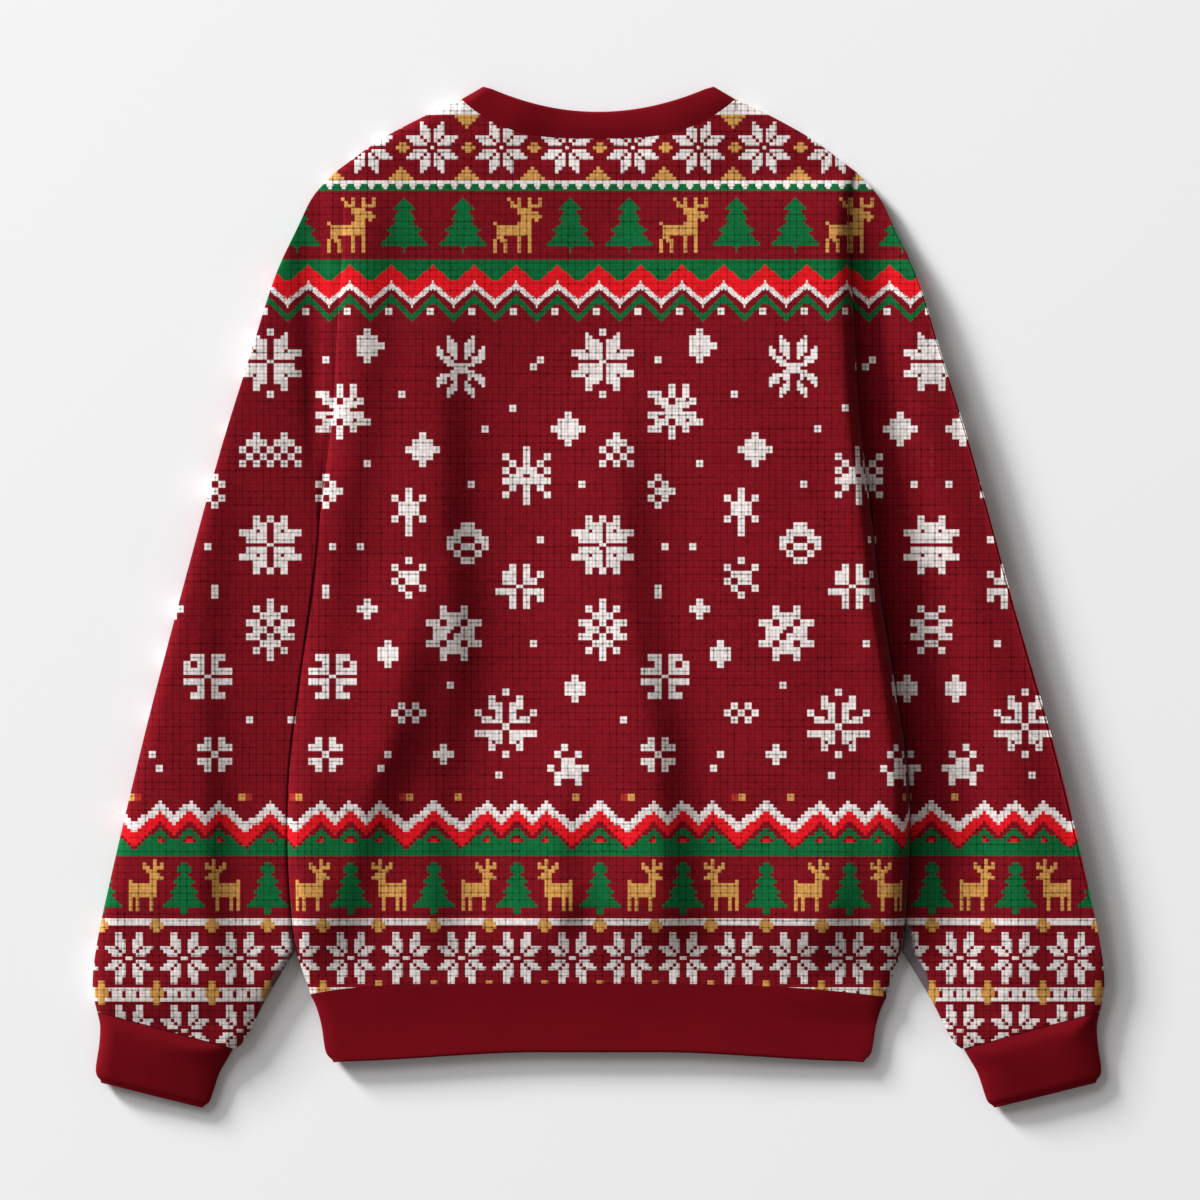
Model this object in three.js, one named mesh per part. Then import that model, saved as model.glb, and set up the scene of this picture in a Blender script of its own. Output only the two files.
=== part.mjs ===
// A crew-neck sweatshirt laid flat on its front, with its back uppermost.
// Millimetres, +Z up. +Y points to the neck, and the floor is z = 0 under the middle of the garment.
// Every cut piece is its own closed wall, 0.3 mm from its neighbours at the seams.
import * as THREE from 'three';

// ---------------------------------------------------------------- driving sizes

const FLEECE = 2.2; // wall of the printed fleece
const HEM_RIB = 3.4; // doubled band at the hem and cuffs
const NECK_RIB = 3.8; // doubled band at the neck
const SEAM_GAP = 0.3;
const SLEEVE_CLEARANCE = 0.6; // sleeve from body where the two lie side by side

const NECK = {
  half: 101.5, // neck point from the centre line
  y: 368.5, // height of the neck points
  backDrop: 29.2, // back seam below the neck points
  backPower: 3.2,
  frontDrop: 88,
  frontPower: 2.6,
};
const NECKBAND = {
  peakHalf: 84.4, // tip of the band, where it folds over
  peakY: 378.5,
  backDrop: 19.2, // free edge below the peaks, at the back
  backPower: 2,
  frontDrop: 77,
  frontPower: 2.4,
  foldHeight: 4.2, // middle of the fold above the floor
  foldReach: 6, // how far the fold takes to round over
  peakTop: 8.6, // upper face near the peaks, where the back band lies on the front band
  centreTop: 6.2, // upper face in the middle, which sags to the floor
};
const SHOULDER_POINT = { half: 192.6, y: 314.8 };
const UNDERARM = { half: 203, y: 68 };
const ARMHOLE = { top: { left: 10.5, right: 7 }, edge: 6, reach: 30 }; // seam height on top and at its ends
const HEM_SEAM = { half: 213.3, centreY: -287.4, sideDrop: 5.2 };
const HEM_BAND = {
  centreY: -337, // free edge at the middle
  sideDrop: 7.4, // free edge lower at the sides
  seamTop: 7.8, // upper face at the seam
  top: 12, // upper face at its highest
  edge: 6.5, // folded edge above the floor
  edgeReach: 12, // how far that takes to round over
  rightFall: 2.4, // free edge lower towards the right
};
const CUFF_EDGE = 5.5; // height of a cuff's folded edges above the floor
const CUFF_SEAM_REACH = 12; // how far those take to round over at the seam
const CUFF_REACH = { left: { outer: 12, inner: 60 }, right: { outer: 30, inner: 26 } }; // and further down

// Shoulder line of the body, from the neck point to the shoulder point.
const SHOULDER_LINE = [
  { half: NECK.half, y: NECK.y },
  { half: 127.8, y: 356.3 },
  { half: 160, y: 338.5 },
  SHOULDER_POINT,
];

// Half width of the body from shoulder point to hem.
const BODY_SIDE = [
  { y: SHOULDER_POINT.y, half: SHOULDER_POINT.half },
  { y: 294, half: 187.4 },
  { y: 250, half: 188.1 },
  { y: 205, half: 191.1 },
  { y: 138, half: 194.8 },
  { y: UNDERARM.y, half: UNDERARM.half },
  { y: -2, half: 211.1 },
  { y: -66, half: 220.7 },
  { y: -129, half: 228.9 },
  { y: -180, half: 230.4 },
  { y: -224, half: 228.2 },
  { y: -262, half: 223.7 },
  { y: -292.6, half: HEM_SEAM.half },
];

// How each side of the body rounds over: height of the side seam above the floor, how far in the cloth
// takes to round over, and how much it swells there.
const BODY_ROLL = {
  left: [
    { y: SHOULDER_POINT.y, edge: ARMHOLE.edge, reach: 14, swell: 3 },
    { y: 294, edge: 6.5, reach: 16, swell: 6 },
    { y: 250, edge: 7.6, reach: 16, swell: 9 },
    { y: 205, edge: 8.7, reach: 16, swell: 10 },
    { y: 138, edge: 10.3, reach: 15, swell: 9.5 },
    { y: UNDERARM.y, edge: 12, reach: 13, swell: 9 },
    { y: -2, edge: 12.5, reach: 12, swell: 8 },
    { y: -129, edge: 12.5, reach: 12, swell: 5.5 },
    { y: -224, edge: 11, reach: 12, swell: 4.5 },
    { y: -292.6, edge: HEM_BAND.edge, reach: HEM_BAND.edgeReach, swell: 3 },
  ],
  right: [
    { y: SHOULDER_POINT.y, edge: ARMHOLE.edge, reach: 10, swell: 3 },
    { y: 294, edge: 5.9, reach: 10, swell: 9 },
    { y: 250, edge: 5.7, reach: 12, swell: 14 },
    { y: 205, edge: 5.5, reach: 12, swell: 17 },
    { y: 138, edge: 5.3, reach: 10, swell: 19.5 },
    { y: UNDERARM.y, edge: 5, reach: 9, swell: 21 },
    { y: -2, edge: 4.5, reach: 9, swell: 22 },
    { y: -129, edge: 4.5, reach: 11, swell: 21.5 },
    { y: -180, edge: 4.5, reach: 14, swell: 19.5 },
    { y: -224, edge: 4.5, reach: 14, swell: 16 },
    { y: -262, edge: 5, reach: 13, swell: 11 },
    { y: -292.6, edge: HEM_BAND.edge, reach: HEM_BAND.edgeReach, swell: 3 },
  ],
};
// Shape of the swell beside each edge: share of a narrow ridge, its width, and the width of the rest.
const SIDE_RIDGE = {
  left: { share: 0.5, narrow: 20, broad: 100 },
  right: { share: 0.1, narrow: 16, broad: 150 },
};

// Outer edge of a sleeve, from the shoulder point to the cuff seam.
const SLEEVE_OUTER = [
  { y: SHOULDER_POINT.y, x: SHOULDER_POINT.half },
  { y: 297, x: 208.9 },
  { y: 275.6, x: 219.6 },
  { y: 238.5, x: 236.7 },
  { y: 183, x: 254.4 },
  { y: 109, x: 277.4 },
  { y: -2, x: 307.8 },
  { y: -113, x: 338.1 },
  { y: -224, x: 364.4 },
  { y: -266, x: 372.6 },
  { y: -291, x: 374.3 },
  { y: -306.5, x: 371.3 },
];

// Inner edge of a sleeve below the place where it leaves the body's side.
const SLEEVE_INNER = [
  { y: -262, x: 224.4 },
  { y: -273.3, x: 231.6 },
  { y: -302.2, x: 248.5 },
  { y: -319.3, x: 257 },
  { y: -330.4, x: 263.7 },
  { y: -334.3, x: 268.5 },
];

// Sections of a sleeve from the armhole to the cuff seam: where each meets the outer and inner edges.
const SLEEVE_SECTIONS = [
  { outerY: 314.8, innerY: 68 },
  { outerY: 300, innerY: 58 },
  { outerY: 279, innerY: 45 },
  { outerY: 248, innerY: 28 },
  { outerY: 196, innerY: 2 },
  { outerY: 116, innerY: -42 },
  { outerY: 12, innerY: -104 },
  { outerY: -90, innerY: -172 },
  { outerY: -180, innerY: -232 },
  { outerY: -232, innerY: -262 },
  { outerY: -272, innerY: -298 },
  { outerY: -294, innerY: -323 },
  { outerY: -306.5, innerY: -334.3 },
];

// The same sections on each side: height of the crown and of the part beside the body, heights of the
// outer and inner edges above the floor, and how far those take to round over.
const SLEEVE_ROLL = {
  left: [
    { crown: 10.5, beside: 10.5, outerEdge: 6, innerEdge: 12, outerReach: 30, innerReach: 30 },
    { crown: 8.5, beside: 12, outerEdge: 7, innerEdge: 12, outerReach: 24, innerReach: 10 },
    { crown: 9, beside: 13.5, outerEdge: 8.5, innerEdge: 12.5, outerReach: 20, innerReach: 4 },
    { crown: 12.5, beside: 14, outerEdge: 11, innerEdge: 13, outerReach: 14, innerReach: 3 },
    { crown: 14, beside: 14.5, outerEdge: 12.5, innerEdge: 13, outerReach: 12, innerReach: 3 },
    { crown: 14.5, beside: 14.5, outerEdge: 13.2, innerEdge: 13, outerReach: 12, innerReach: 3 },
    { crown: 14.5, beside: 14.5, outerEdge: 13.5, innerEdge: 13, outerReach: 12, innerReach: 3 },
    { crown: 14.5, beside: 14.5, outerEdge: 13.5, innerEdge: 13, outerReach: 12, innerReach: 3 },
    { crown: 14.5, beside: 14, outerEdge: 13.5, innerEdge: 12, outerReach: 12, innerReach: 4 },
    { crown: 14.5, beside: 13.5, outerEdge: 12.5, innerEdge: 10.5, outerReach: 12, innerReach: 9 },
    { crown: 14.5, beside: 13.5, outerEdge: 10.5, innerEdge: 9, outerReach: 12, innerReach: 16 },
    { crown: 14, beside: 13, outerEdge: 8, innerEdge: 7, outerReach: 12, innerReach: 14 },
    { crown: 12, beside: 12, outerEdge: 5.5, innerEdge: 5.5, outerReach: 12, innerReach: 12 },
  ],
  right: [
    { crown: 7, beside: 7, outerEdge: 6, innerEdge: 5, outerReach: 30, innerReach: 30 },
    { crown: 7, beside: 7, outerEdge: 7, innerEdge: 5, outerReach: 26, innerReach: 12 },
    { crown: 8.5, beside: 7, outerEdge: 8.5, innerEdge: 5.3, outerReach: 18, innerReach: 4 },
    { crown: 11.5, beside: 7, outerEdge: 10.5, innerEdge: 5.5, outerReach: 14, innerReach: 3 },
    { crown: 13.5, beside: 7, outerEdge: 12, innerEdge: 5.5, outerReach: 13, innerReach: 3 },
    { crown: 14, beside: 7, outerEdge: 12.5, innerEdge: 5.5, outerReach: 13, innerReach: 3 },
    { crown: 14, beside: 7, outerEdge: 12.5, innerEdge: 5.5, outerReach: 13, innerReach: 3 },
    { crown: 14.5, beside: 7, outerEdge: 12.5, innerEdge: 5.5, outerReach: 13, innerReach: 3 },
    { crown: 14.5, beside: 7.5, outerEdge: 12.5, innerEdge: 5.5, outerReach: 13, innerReach: 5 },
    { crown: 14.5, beside: 9, outerEdge: 11.5, innerEdge: 6, outerReach: 14, innerReach: 9 },
    { crown: 14.5, beside: 11.5, outerEdge: 9.5, innerEdge: 7, outerReach: 16, innerReach: 16 },
    { crown: 13.5, beside: 12.5, outerEdge: 7.5, innerEdge: 6.5, outerReach: 16, innerReach: 14 },
    { crown: 12, beside: 12, outerEdge: 5.5, innerEdge: 5.5, outerReach: 12, innerReach: 12 },
  ],
};
const BESIDE_SHARE = { left: 0.5, right: 0.8 }; // share of a sleeve's width over which it rises to its crown

// Sections of a cuff, from its seam to its free edge.
const CUFF_SECTIONS = [
  { outerX: 371.1, outerY: -307, innerX: 270.4, innerY: -334.4, crown: 12 },
  { outerX: 369, outerY: -317, innerX: 275, innerY: -342.5, crown: 13.8 },
  { outerX: 369.6, outerY: -331, innerX: 280.6, innerY: -352.4, crown: 13.6 },
  { outerX: 372, outerY: -347, innerX: 285.2, innerY: -366, crown: 12.4 },
  { outerX: 371.6, outerY: -353.6, innerX: 288, innerY: -373.4, crown: 11.2 },
  { outerX: 368.6, outerY: -357.8, innerX: 292, innerY: -376.6, crown: 9.8 },
];

// Widths of the hem band down its height: 0 at the seam and 1 at the free edge.
const HEM_BAND_SECTIONS = [
  { down: 0, half: HEM_SEAM.half, rise: 0 },
  { down: 0.2, half: 209, rise: 0.8 },
  { down: 0.4, half: 206.3, rise: 1 },
  { down: 0.8, half: 202.8, rise: 0.7 },
  { down: 0.92, half: 201, rise: 0.5 },
  { down: 1, half: 197, rise: 0.35 },
];

// Long soft folds. Each rises slowly from the left over one width and drops away on the right over
// another. Its line runs down the middle of the drop.
const BACK_FOLDS = [
  {
    rise: 45,
    drop: 20,
    line: [
      { x: -103.6, y: 235, height: 0 },
      { x: -103.6, y: 116, height: 7 },
      { x: -102.5, y: 57, height: 9 },
      { x: -96.5, y: -57, height: 6.5 },
      { x: -112, y: -136, height: 4.5 },
      { x: -114, y: -232, height: 7.5 },
      { x: -122, y: -292, height: 3 },
    ],
  },
  {
    rise: 70,
    drop: 24,
    line: [
      { x: -112, y: 30, height: 0 },
      { x: -131, y: -54, height: 9 },
      { x: -154, y: -136, height: 11 },
      { x: -178, y: -217, height: 9 },
      { x: -188, y: -292, height: 4 },
    ],
  },
  {
    rise: 60,
    drop: 23,
    line: [
      { x: 24, y: 165, height: 0 },
      { x: 30, y: 110, height: 5 },
      { x: 35, y: 5, height: 8 },
      { x: 46, y: -70, height: 12 },
      { x: 54.5, y: -136, height: 13 },
      { x: 60, y: -217, height: 13 },
      { x: 52, y: -292, height: 6 },
    ],
  },
  {
    rise: 55,
    drop: 17,
    line: [
      { x: -14, y: -90, height: 0 },
      { x: -22, y: -195, height: 6 },
      { x: -23, y: -250, height: 8.5 },
      { x: -28, y: -292, height: 5 },
    ],
  },
  {
    rise: 40,
    drop: 22,
    line: [
      { x: 190, y: -150, height: 0 },
      { x: 178, y: -250, height: 8.5 },
      { x: 172, y: -292, height: 6 },
    ],
  },
];
const SLEEVE_FOLDS = {
  left: {
    rise: 80,
    drop: 17,
    line: [
      { x: -270, y: 110, height: 0 },
      { x: -275, y: 61, height: 3 },
      { x: -283, y: -113, height: 6 },
      { x: -284, y: -224, height: 8 },
      { x: -276, y: -261, height: 6 },
      { x: -262, y: -315, height: 0 },
    ],
  },
  right: {
    rise: 40,
    drop: 20,
    line: [
      { x: 318, y: -60, height: 0 },
      { x: 320, y: -220, height: 3 },
      { x: 326, y: -310, height: 0 },
    ],
  },
};
const LAYERS_TOP = 5.6; // upper face where the back lies right on the front
const SEAM_RISE = 24; // how far above the hem seam the cloth takes to reach its own height
// The upper half lies a little to one side.
const ASKEW = { shift: -2, foot: -160, full: 20, top: 378, topFull: 318 };

// ---------------------------------------------------------------- materials

const PRINTED_FLEECE = new THREE.MeshStandardMaterial({ color: 0x6e0f18, roughness: 0.85, metalness: 0 });
const BAND_FLEECE = new THREE.MeshStandardMaterial({ color: 0x700d17, roughness: 0.8, metalness: 0 });

// ---------------------------------------------------------------- small tools

const mix = (a, b, t) => a + (b - a) * t;
const clamp01 = (t) => Math.min(1, Math.max(0, t));
const smooth = (t) => clamp01(t) ** 2 * (3 - 2 * clamp01(t));
const bell = (t) => Math.exp(-t * t);

// Quarter round: 0 at the edge, 1 once the distance passes the reach.
const roundOver = (distance, reach) => Math.sqrt(1 - (1 - clamp01(distance / reach)) ** 2);

// A smooth curve through the rows of a table: value of one column for another.
function curve(rows, key, column) {
  const sorted = [...rows].sort((a, b) => a[key] - b[key]);
  const slope = (i) => {
    const before = sorted[Math.max(0, i - 1)];
    const after = sorted[Math.min(sorted.length - 1, i + 1)];
    return (after[column] - before[column]) / (after[key] - before[key]);
  };
  return (at) => {
    if (at <= sorted[0][key]) return sorted[0][column];
    if (at >= sorted.at(-1)[key]) return sorted.at(-1)[column];
    const i = sorted.findIndex((row) => row[key] > at) - 1;
    const [a, b] = [sorted[i], sorted[i + 1]];
    const span = b[key] - a[key];
    const t = (at - a[key]) / span;
    const bend = (1 - t) * t * ((1 - t) * (slope(i) * span - (b[column] - a[column]))
      - t * (slope(i + 1) * span - (b[column] - a[column])));
    return mix(a[column], b[column], t) + bend;
  };
}

const askew = (y) => ASKEW.shift * smooth((y - ASKEW.foot) / (ASKEW.full - ASKEW.foot))
  * smooth((ASKEW.top - y) / (ASKEW.top - ASKEW.topFull));

// ---------------------------------------------------------------- closed meshes

// A closed surface from grid faces that are listed once. Its winding is turned outward at the end.
class Solid {
  constructor() {
    this.positions = [];
    this.faces = [];
  }

  grid(points) {
    const add = ([x, y, z]) => this.positions.push(x + askew(y), y, z) / 3 - 1;
    return points.map((row) => row.map(add));
  }

  quad(a, b, c, d) {
    this.faces.push(a, b, c, a, c, d);
  }

  mesh(name, material) {
    let volume = 0;
    const corner = (i) => new THREE.Vector3().fromArray(this.positions, 3 * this.faces[i]);
    for (let i = 0; i < this.faces.length; i += 3) {
      volume += corner(i).dot(corner(i + 1).cross(corner(i + 2)));
    }
    const faces = volume > 0 ? this.faces : this.faces.toReversed();
    const geometry = new THREE.BufferGeometry();
    geometry.setAttribute('position', new THREE.Float32BufferAttribute(this.positions, 3));
    geometry.setIndex(faces);
    geometry.computeVertexNormals();
    const mesh = new THREE.Mesh(geometry, material);
    mesh.name = name;
    return mesh;
  }
}

// A panel: an outer and an inner grid of the same size, joined by a rim.
function panelSolid(outer, inner) {
  const solid = new Solid();
  const top = solid.grid(outer);
  const under = solid.grid(inner);
  const rows = outer.length;
  const columns = outer[0].length;
  for (let r = 0; r + 1 < rows; r += 1) {
    for (let c = 0; c + 1 < columns; c += 1) {
      solid.quad(top[r][c], top[r][c + 1], top[r + 1][c + 1], top[r + 1][c]);
      solid.quad(under[r][c], under[r + 1][c], under[r + 1][c + 1], under[r][c + 1]);
    }
    solid.quad(top[r][0], top[r + 1][0], under[r + 1][0], under[r][0]);
    const last = columns - 1;
    solid.quad(top[r + 1][last], top[r][last], under[r][last], under[r + 1][last]);
  }
  for (let c = 0; c + 1 < columns; c += 1) {
    solid.quad(top[0][c + 1], top[0][c], under[0][c], under[0][c + 1]);
    solid.quad(top[rows - 1][c], top[rows - 1][c + 1], under[rows - 1][c + 1], under[rows - 1][c]);
  }
  return solid;
}

// A ring: closed sections set round a closed loop.
function ringSolid(sections) {
  const solid = new Solid();
  const index = solid.grid(sections);
  sections.forEach((section, i) => {
    const next = index[(i + 1) % sections.length];
    section.forEach((_, j) => {
      const k = (j + 1) % section.length;
      solid.quad(index[i][j], next[j], next[k], index[i][k]);
    });
  });
  return solid;
}

// ---------------------------------------------------------------- heights shared by neighbours

const sideHalf = curve(BODY_SIDE, 'y', 'half');
const rollOf = (rows) => ({
  edge: curve(rows, 'y', 'edge'),
  reach: curve(rows, 'y', 'reach'),
  swell: curve(rows, 'y', 'swell'),
});
const bodyRoll = { left: rollOf(BODY_ROLL.left), right: rollOf(BODY_ROLL.right) };
const sideOf = (x) => (x < 0 ? 'left' : 'right');
const shoulderY = curve(SHOULDER_LINE, 'half', 'y');
const hemSeamY = (x) => HEM_SEAM.centreY - HEM_SEAM.sideDrop * (Math.abs(x) / HEM_SEAM.half) ** 4;

const armholeRise = (y) => roundOver(SHOULDER_POINT.y - y, ARMHOLE.reach)
  * roundOver(y - UNDERARM.y, ARMHOLE.reach);

// Upper and lower heights of the body's side edge: the side seam, opening out along the armhole.
const sideTopEdge = (x, y) => mix(bodyRoll[sideOf(x)].edge(y), ARMHOLE.top[sideOf(x)], armholeRise(y));
const sideUnderEdge = (x, y) => (bodyRoll[sideOf(x)].edge(y) - SEAM_GAP) * (1 - armholeRise(y));

// Upper face of the neckband at a share of its half length, with the fold at its ends.
const NECK_STATIONS = [0, 0.2, 0.4, 0.6, 0.78, 0.9, 1];
const neckFoldRise = (share) => roundOver(NECK.half * (1 - share), NECKBAND.foldReach);
const neckTop = (share) => {
  const sagging = mix(NECKBAND.centreTop, NECKBAND.peakTop, smooth((share - 0.3) / 0.4));
  return mix(NECKBAND.foldHeight, sagging, neckFoldRise(share));
};
const neckUnder = (share) => NECKBAND.foldHeight * (1 - neckFoldRise(share));

// ---------------------------------------------------------------- body panels

function fold({ rise, drop, line }) {
  const along = curve(line, 'y', 'x');
  const height = curve(line, 'y', 'height');
  return (x, y) => {
    const past = x - along(y) + 0.7 * drop;
    return height(y) * bell(past / (past < 0 ? rise : drop));
  };
}
const backFolds = BACK_FOLDS.map(fold);
const sleeveFolds = { left: fold(SLEEVE_FOLDS.left), right: fold(SLEEVE_FOLDS.right) };

// How much the cloth swells beside one edge of the body.
function sideSwell(side, fromSide, y) {
  const { share, narrow, broad } = SIDE_RIDGE[side];
  const past = Math.max(0, fromSide - bodyRoll[side].reach(y));
  return bodyRoll[side].swell(y) * mix(bell(past / broad), bell(past / narrow), share);
}

// Height of the back's upper face before its edges are rounded over.
function backHeight(x, y) {
  const swell = sideSwell('left', sideHalf(y) + x, y) + sideSwell('right', sideHalf(y) - x, y);
  const open = backFolds.reduce((sum, height) => sum + height(x, y), LAYERS_TOP + swell);
  const nearHem = mix(HEM_BAND.seamTop, open, smooth((y - hemSeamY(x)) / SEAM_RISE));

  const share = Math.min(1, Math.abs(x) / NECK.half);
  const belowNeck = backTopY(x) - y;
  const yoke = Math.max(nearHem, NECKBAND.peakTop);
  const overFrontBand = mix(yoke, nearHem, smooth((belowNeck - 90) / 60));
  const atNeck = mix(NECKBAND.centreTop, NECKBAND.peakTop, smooth((share - 0.3) / 0.4));
  return mix(atNeck, overFrontBand, smooth(belowNeck / 26));
}

const neckSeamY = (x, drop, power) => NECK.y - drop * (1 - (Math.abs(x) / NECK.half) ** power);
const backTopY = (x) => (Math.abs(x) > NECK.half ? shoulderY(Math.abs(x))
  : neckSeamY(x, NECK.backDrop, NECK.backPower));
const frontTopY = (x) => (Math.abs(x) > NECK.half ? shoulderY(Math.abs(x))
  : neckSeamY(x, NECK.frontDrop, NECK.frontPower));

// How far each row or column has turned over its edge: 0 is the edge itself and 1 is flat.
const TURNS = [0, 0.25, 0.5, 0.75, 1];
const SHOULDER_TURNS = [0, 0.4, 0.7, 1];
const SHOULDER_REACH = 6;
const ROW_CROWDING = 1.4;
const SHOULDER_EDGE = [
  { half: NECK.half, z: NECKBAND.foldHeight },
  { half: SHOULDER_POINT.half, z: ARMHOLE.edge },
];
const shoulderEdge = curve(SHOULDER_EDGE, 'half', 'z');

// Columns of a panel, left to right: below the neck, then out to the side, then over its edge.
function panelColumns(outwards) {
  const right = NECK_STATIONS.slice(1).map((neck) => ({ side: 1, neck }));
  for (let i = 1; i < outwards; i += 1) right.push({ side: 1, out: i / outwards });
  TURNS.toReversed().forEach((turn) => right.push({ side: 1, turn }));
  const left = right.toReversed().map((column) => ({ ...column, side: -1 }));
  return [...left, { side: 1, neck: 0 }, ...right];
}

// Rows of a panel from the hem up, closer together towards the shoulders.
function panelRows(count, turns) {
  const rows = [];
  for (let i = 0; i < count; i += 1) rows.push({ up: 1 - (1 - i / count) ** ROW_CROWDING });
  turns.toReversed().forEach((turn) => rows.push({ turn }));
  return rows;
}

// Plan position of a panel's point, and how far it has turned over the side and the top edge.
function panelPlace(row, column, topY) {
  const sideRise = column.turn === undefined ? 1 : Math.sin((column.turn * Math.PI) / 2);
  const topRise = row.up === undefined ? Math.sin((row.turn * Math.PI) / 2) : 1;
  let y = row.up === undefined ? NECK.y : mix(HEM_SEAM.centreY, NECK.y, row.up);
  let x = 0;
  for (let pass = 0; pass < 6; pass += 1) {
    const half = sideHalf(y);
    const reach = bodyRoll[sideOf(column.side)].reach(y);
    const inset = reach * (1 - Math.sqrt(1 - sideRise ** 2));
    if (column.neck !== undefined) x = column.side * NECK.half * column.neck;
    else if (column.out !== undefined) x = column.side * mix(NECK.half, half - reach, column.out);
    else x = column.side * (half - inset);
    const top = topY(x);
    const bottom = hemSeamY(x) + SEAM_GAP;
    const turned = top - SHOULDER_REACH * (1 - Math.sqrt(1 - topRise ** 2));
    y = row.up === undefined ? turned : mix(bottom, top - SHOULDER_REACH, row.up);
  }
  return { x, y, sideRise, topRise };
}

// Builds a body panel. face is 1 for the upper panel and -1 for the one on the floor.
function bodyPanel({ rows, columns, topY, neckZ, height, sideZ, shoulderZ, face }) {
  const outer = [];
  const inner = [];
  rows.forEach((row) => {
    const outerRow = [];
    const innerRow = [];
    columns.forEach((column) => {
      const { x, y, sideRise, topRise } = panelPlace(row, column, topY);
      const share = Math.abs(x) / NECK.half;
      const neckOpen = share < 1 ? neckFoldRise(share) : 0;
      const armOpen = column.turn === undefined ? 0 : armholeRise(y);
      const topZ = share < 1 ? neckZ(share) : shoulderZ(Math.abs(x));
      const z = (edgeSide, edgeTop, middle) => mix(edgeSide, mix(edgeTop, middle, topRise), sideRise);
      outerRow.push([x, y, z(sideZ(x, y), topZ, height(x, y))]);

      const sideIn = FLEECE * Math.sqrt(1 - sideRise ** 2) * Math.sqrt(1 - armOpen ** 2);
      const topIn = FLEECE * Math.sqrt(1 - topRise ** 2) * Math.sqrt(1 - neckOpen ** 2);
      const wall = -face * FLEECE;
      innerRow.push([
        x - Math.sign(x) * sideIn,
        y - topIn,
        z(sideZ(x, y) + wall * armOpen, topZ + wall * neckOpen, height(x, y) + wall),
      ]);
    });
    outer.push(outerRow);
    inner.push(innerRow);
  });
  return panelSolid(outer, inner);
}

const backPanel = () => bodyPanel({
  rows: panelRows(30, SHOULDER_TURNS),
  columns: panelColumns(7),
  topY: backTopY,
  neckZ: neckTop,
  height: backHeight,
  sideZ: sideTopEdge,
  shoulderZ: shoulderEdge,
  face: 1,
});

const frontPanel = () => bodyPanel({
  rows: panelRows(30, SHOULDER_TURNS),
  columns: panelColumns(2),
  topY: frontTopY,
  neckZ: neckUnder,
  height: () => 0,
  sideZ: sideUnderEdge,
  shoulderZ: (half) => shoulderEdge(half) - SEAM_GAP,
  face: -1,
});

// ---------------------------------------------------------------- flattened tubes

// Stations round a flattened tube: q from the outer edge to the inner one on top, then back beneath.
function tubeStations(onTop, beneath) {
  const spread = (i, count) => (1 - Math.cos((Math.PI * i) / count)) / 2;
  const stations = [];
  for (let i = 0; i < onTop; i += 1) stations.push({ q: spread(i, onTop), top: true });
  for (let i = 0; i < beneath; i += 1) stations.push({ q: 1 - spread(i, beneath), top: false });
  return stations;
}

const FLOOR_REACH = 14; // how far the underside of a flattened tube takes to leave the floor

// A point of a flattened tube's section, drawn in by a wall.
function tubePoint(section, station, wall) {
  const { outer, inner, crown, beside, riseShare, outerEdge, innerEdge, outerReach, innerReach } = section;
  const length = Math.hypot(inner[0] - outer[0], inner[1] - outer[1]);
  const q = mix(wall / length, 1 - wall / length, station.q);
  const fromOuter = station.q * length;
  const fromInner = (1 - station.q) * length;
  const floorRise = roundOver(fromOuter, FLOOR_REACH) * roundOver(fromInner, FLOOR_REACH);
  const topRise = roundOver(fromOuter, outerReach) * roundOver(fromInner, innerReach);
  const x = mix(outer[0], inner[0], q);
  const y = mix(outer[1], inner[1], q);
  const height = mix(beside, crown, smooth((1 - station.q) / riseShare)) + section.fold(x, y);
  const edge = mix(outerEdge, innerEdge, station.q);
  const z = station.top ? mix(edge, height - wall, topRise) : mix(edge, wall, floorRise);
  return [x, y, z];
}

// ---------------------------------------------------------------- sleeves

const sleeveOuterX = curve(SLEEVE_OUTER, 'y', 'x');
const sleeveInnerX = curve(SLEEVE_INNER, 'y', 'x');
const innerEdgeX = (y) => (y > SLEEVE_INNER[0].y ? sideHalf(y) + SLEEVE_CLEARANCE : sleeveInnerX(y));

// Sections between the tables' rows, smoothed along the sleeve.
function sleeveSections(side, between) {
  const rows = SLEEVE_SECTIONS.map((place, i) => ({ ...place, ...SLEEVE_ROLL[side][i], i }));
  const sizes = Object.keys(rows[0]).map((name) => [name, curve(rows, 'i', name)]);
  const mirror = side === 'left' ? -1 : 1;
  const sections = [];
  for (let step = 0; step <= (rows.length - 1) * between; step += 1) {
    const section = Object.fromEntries(sizes.map(([name, size]) => [name, size(step / between)]));
    sections.push({
      ...section,
      outer: [sleeveOuterX(section.outerY), section.outerY],
      inner: [innerEdgeX(section.innerY), section.innerY],
      riseShare: BESIDE_SHARE[side],
      fold: (x, y) => sleeveFolds[side](mirror * x, y),
    });
  }
  return sections;
}

// The first section follows the armhole seam, just clear of the body.
function sleevePoint(section, station, wall) {
  const [x, y, z] = tubePoint(section, station, wall);
  return [section.i === 0 ? sideHalf(y) + SEAM_GAP : x, y, z];
}

const mirrored = (side, [x, y, z]) => [side === 'left' ? -x : x, y, z];

function sleeve(side) {
  const sections = sleeveSections(side, 2);
  const stations = tubeStations(14, 8);
  const walls = stations.map((station) => [
    ...sections.map((section) => mirrored(side, sleevePoint(section, station, 0))),
    ...sections.toReversed().map((section) => mirrored(side, sleevePoint(section, station, FLEECE))),
  ]);
  return ringSolid(walls);
}

// ---------------------------------------------------------------- bands

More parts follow.
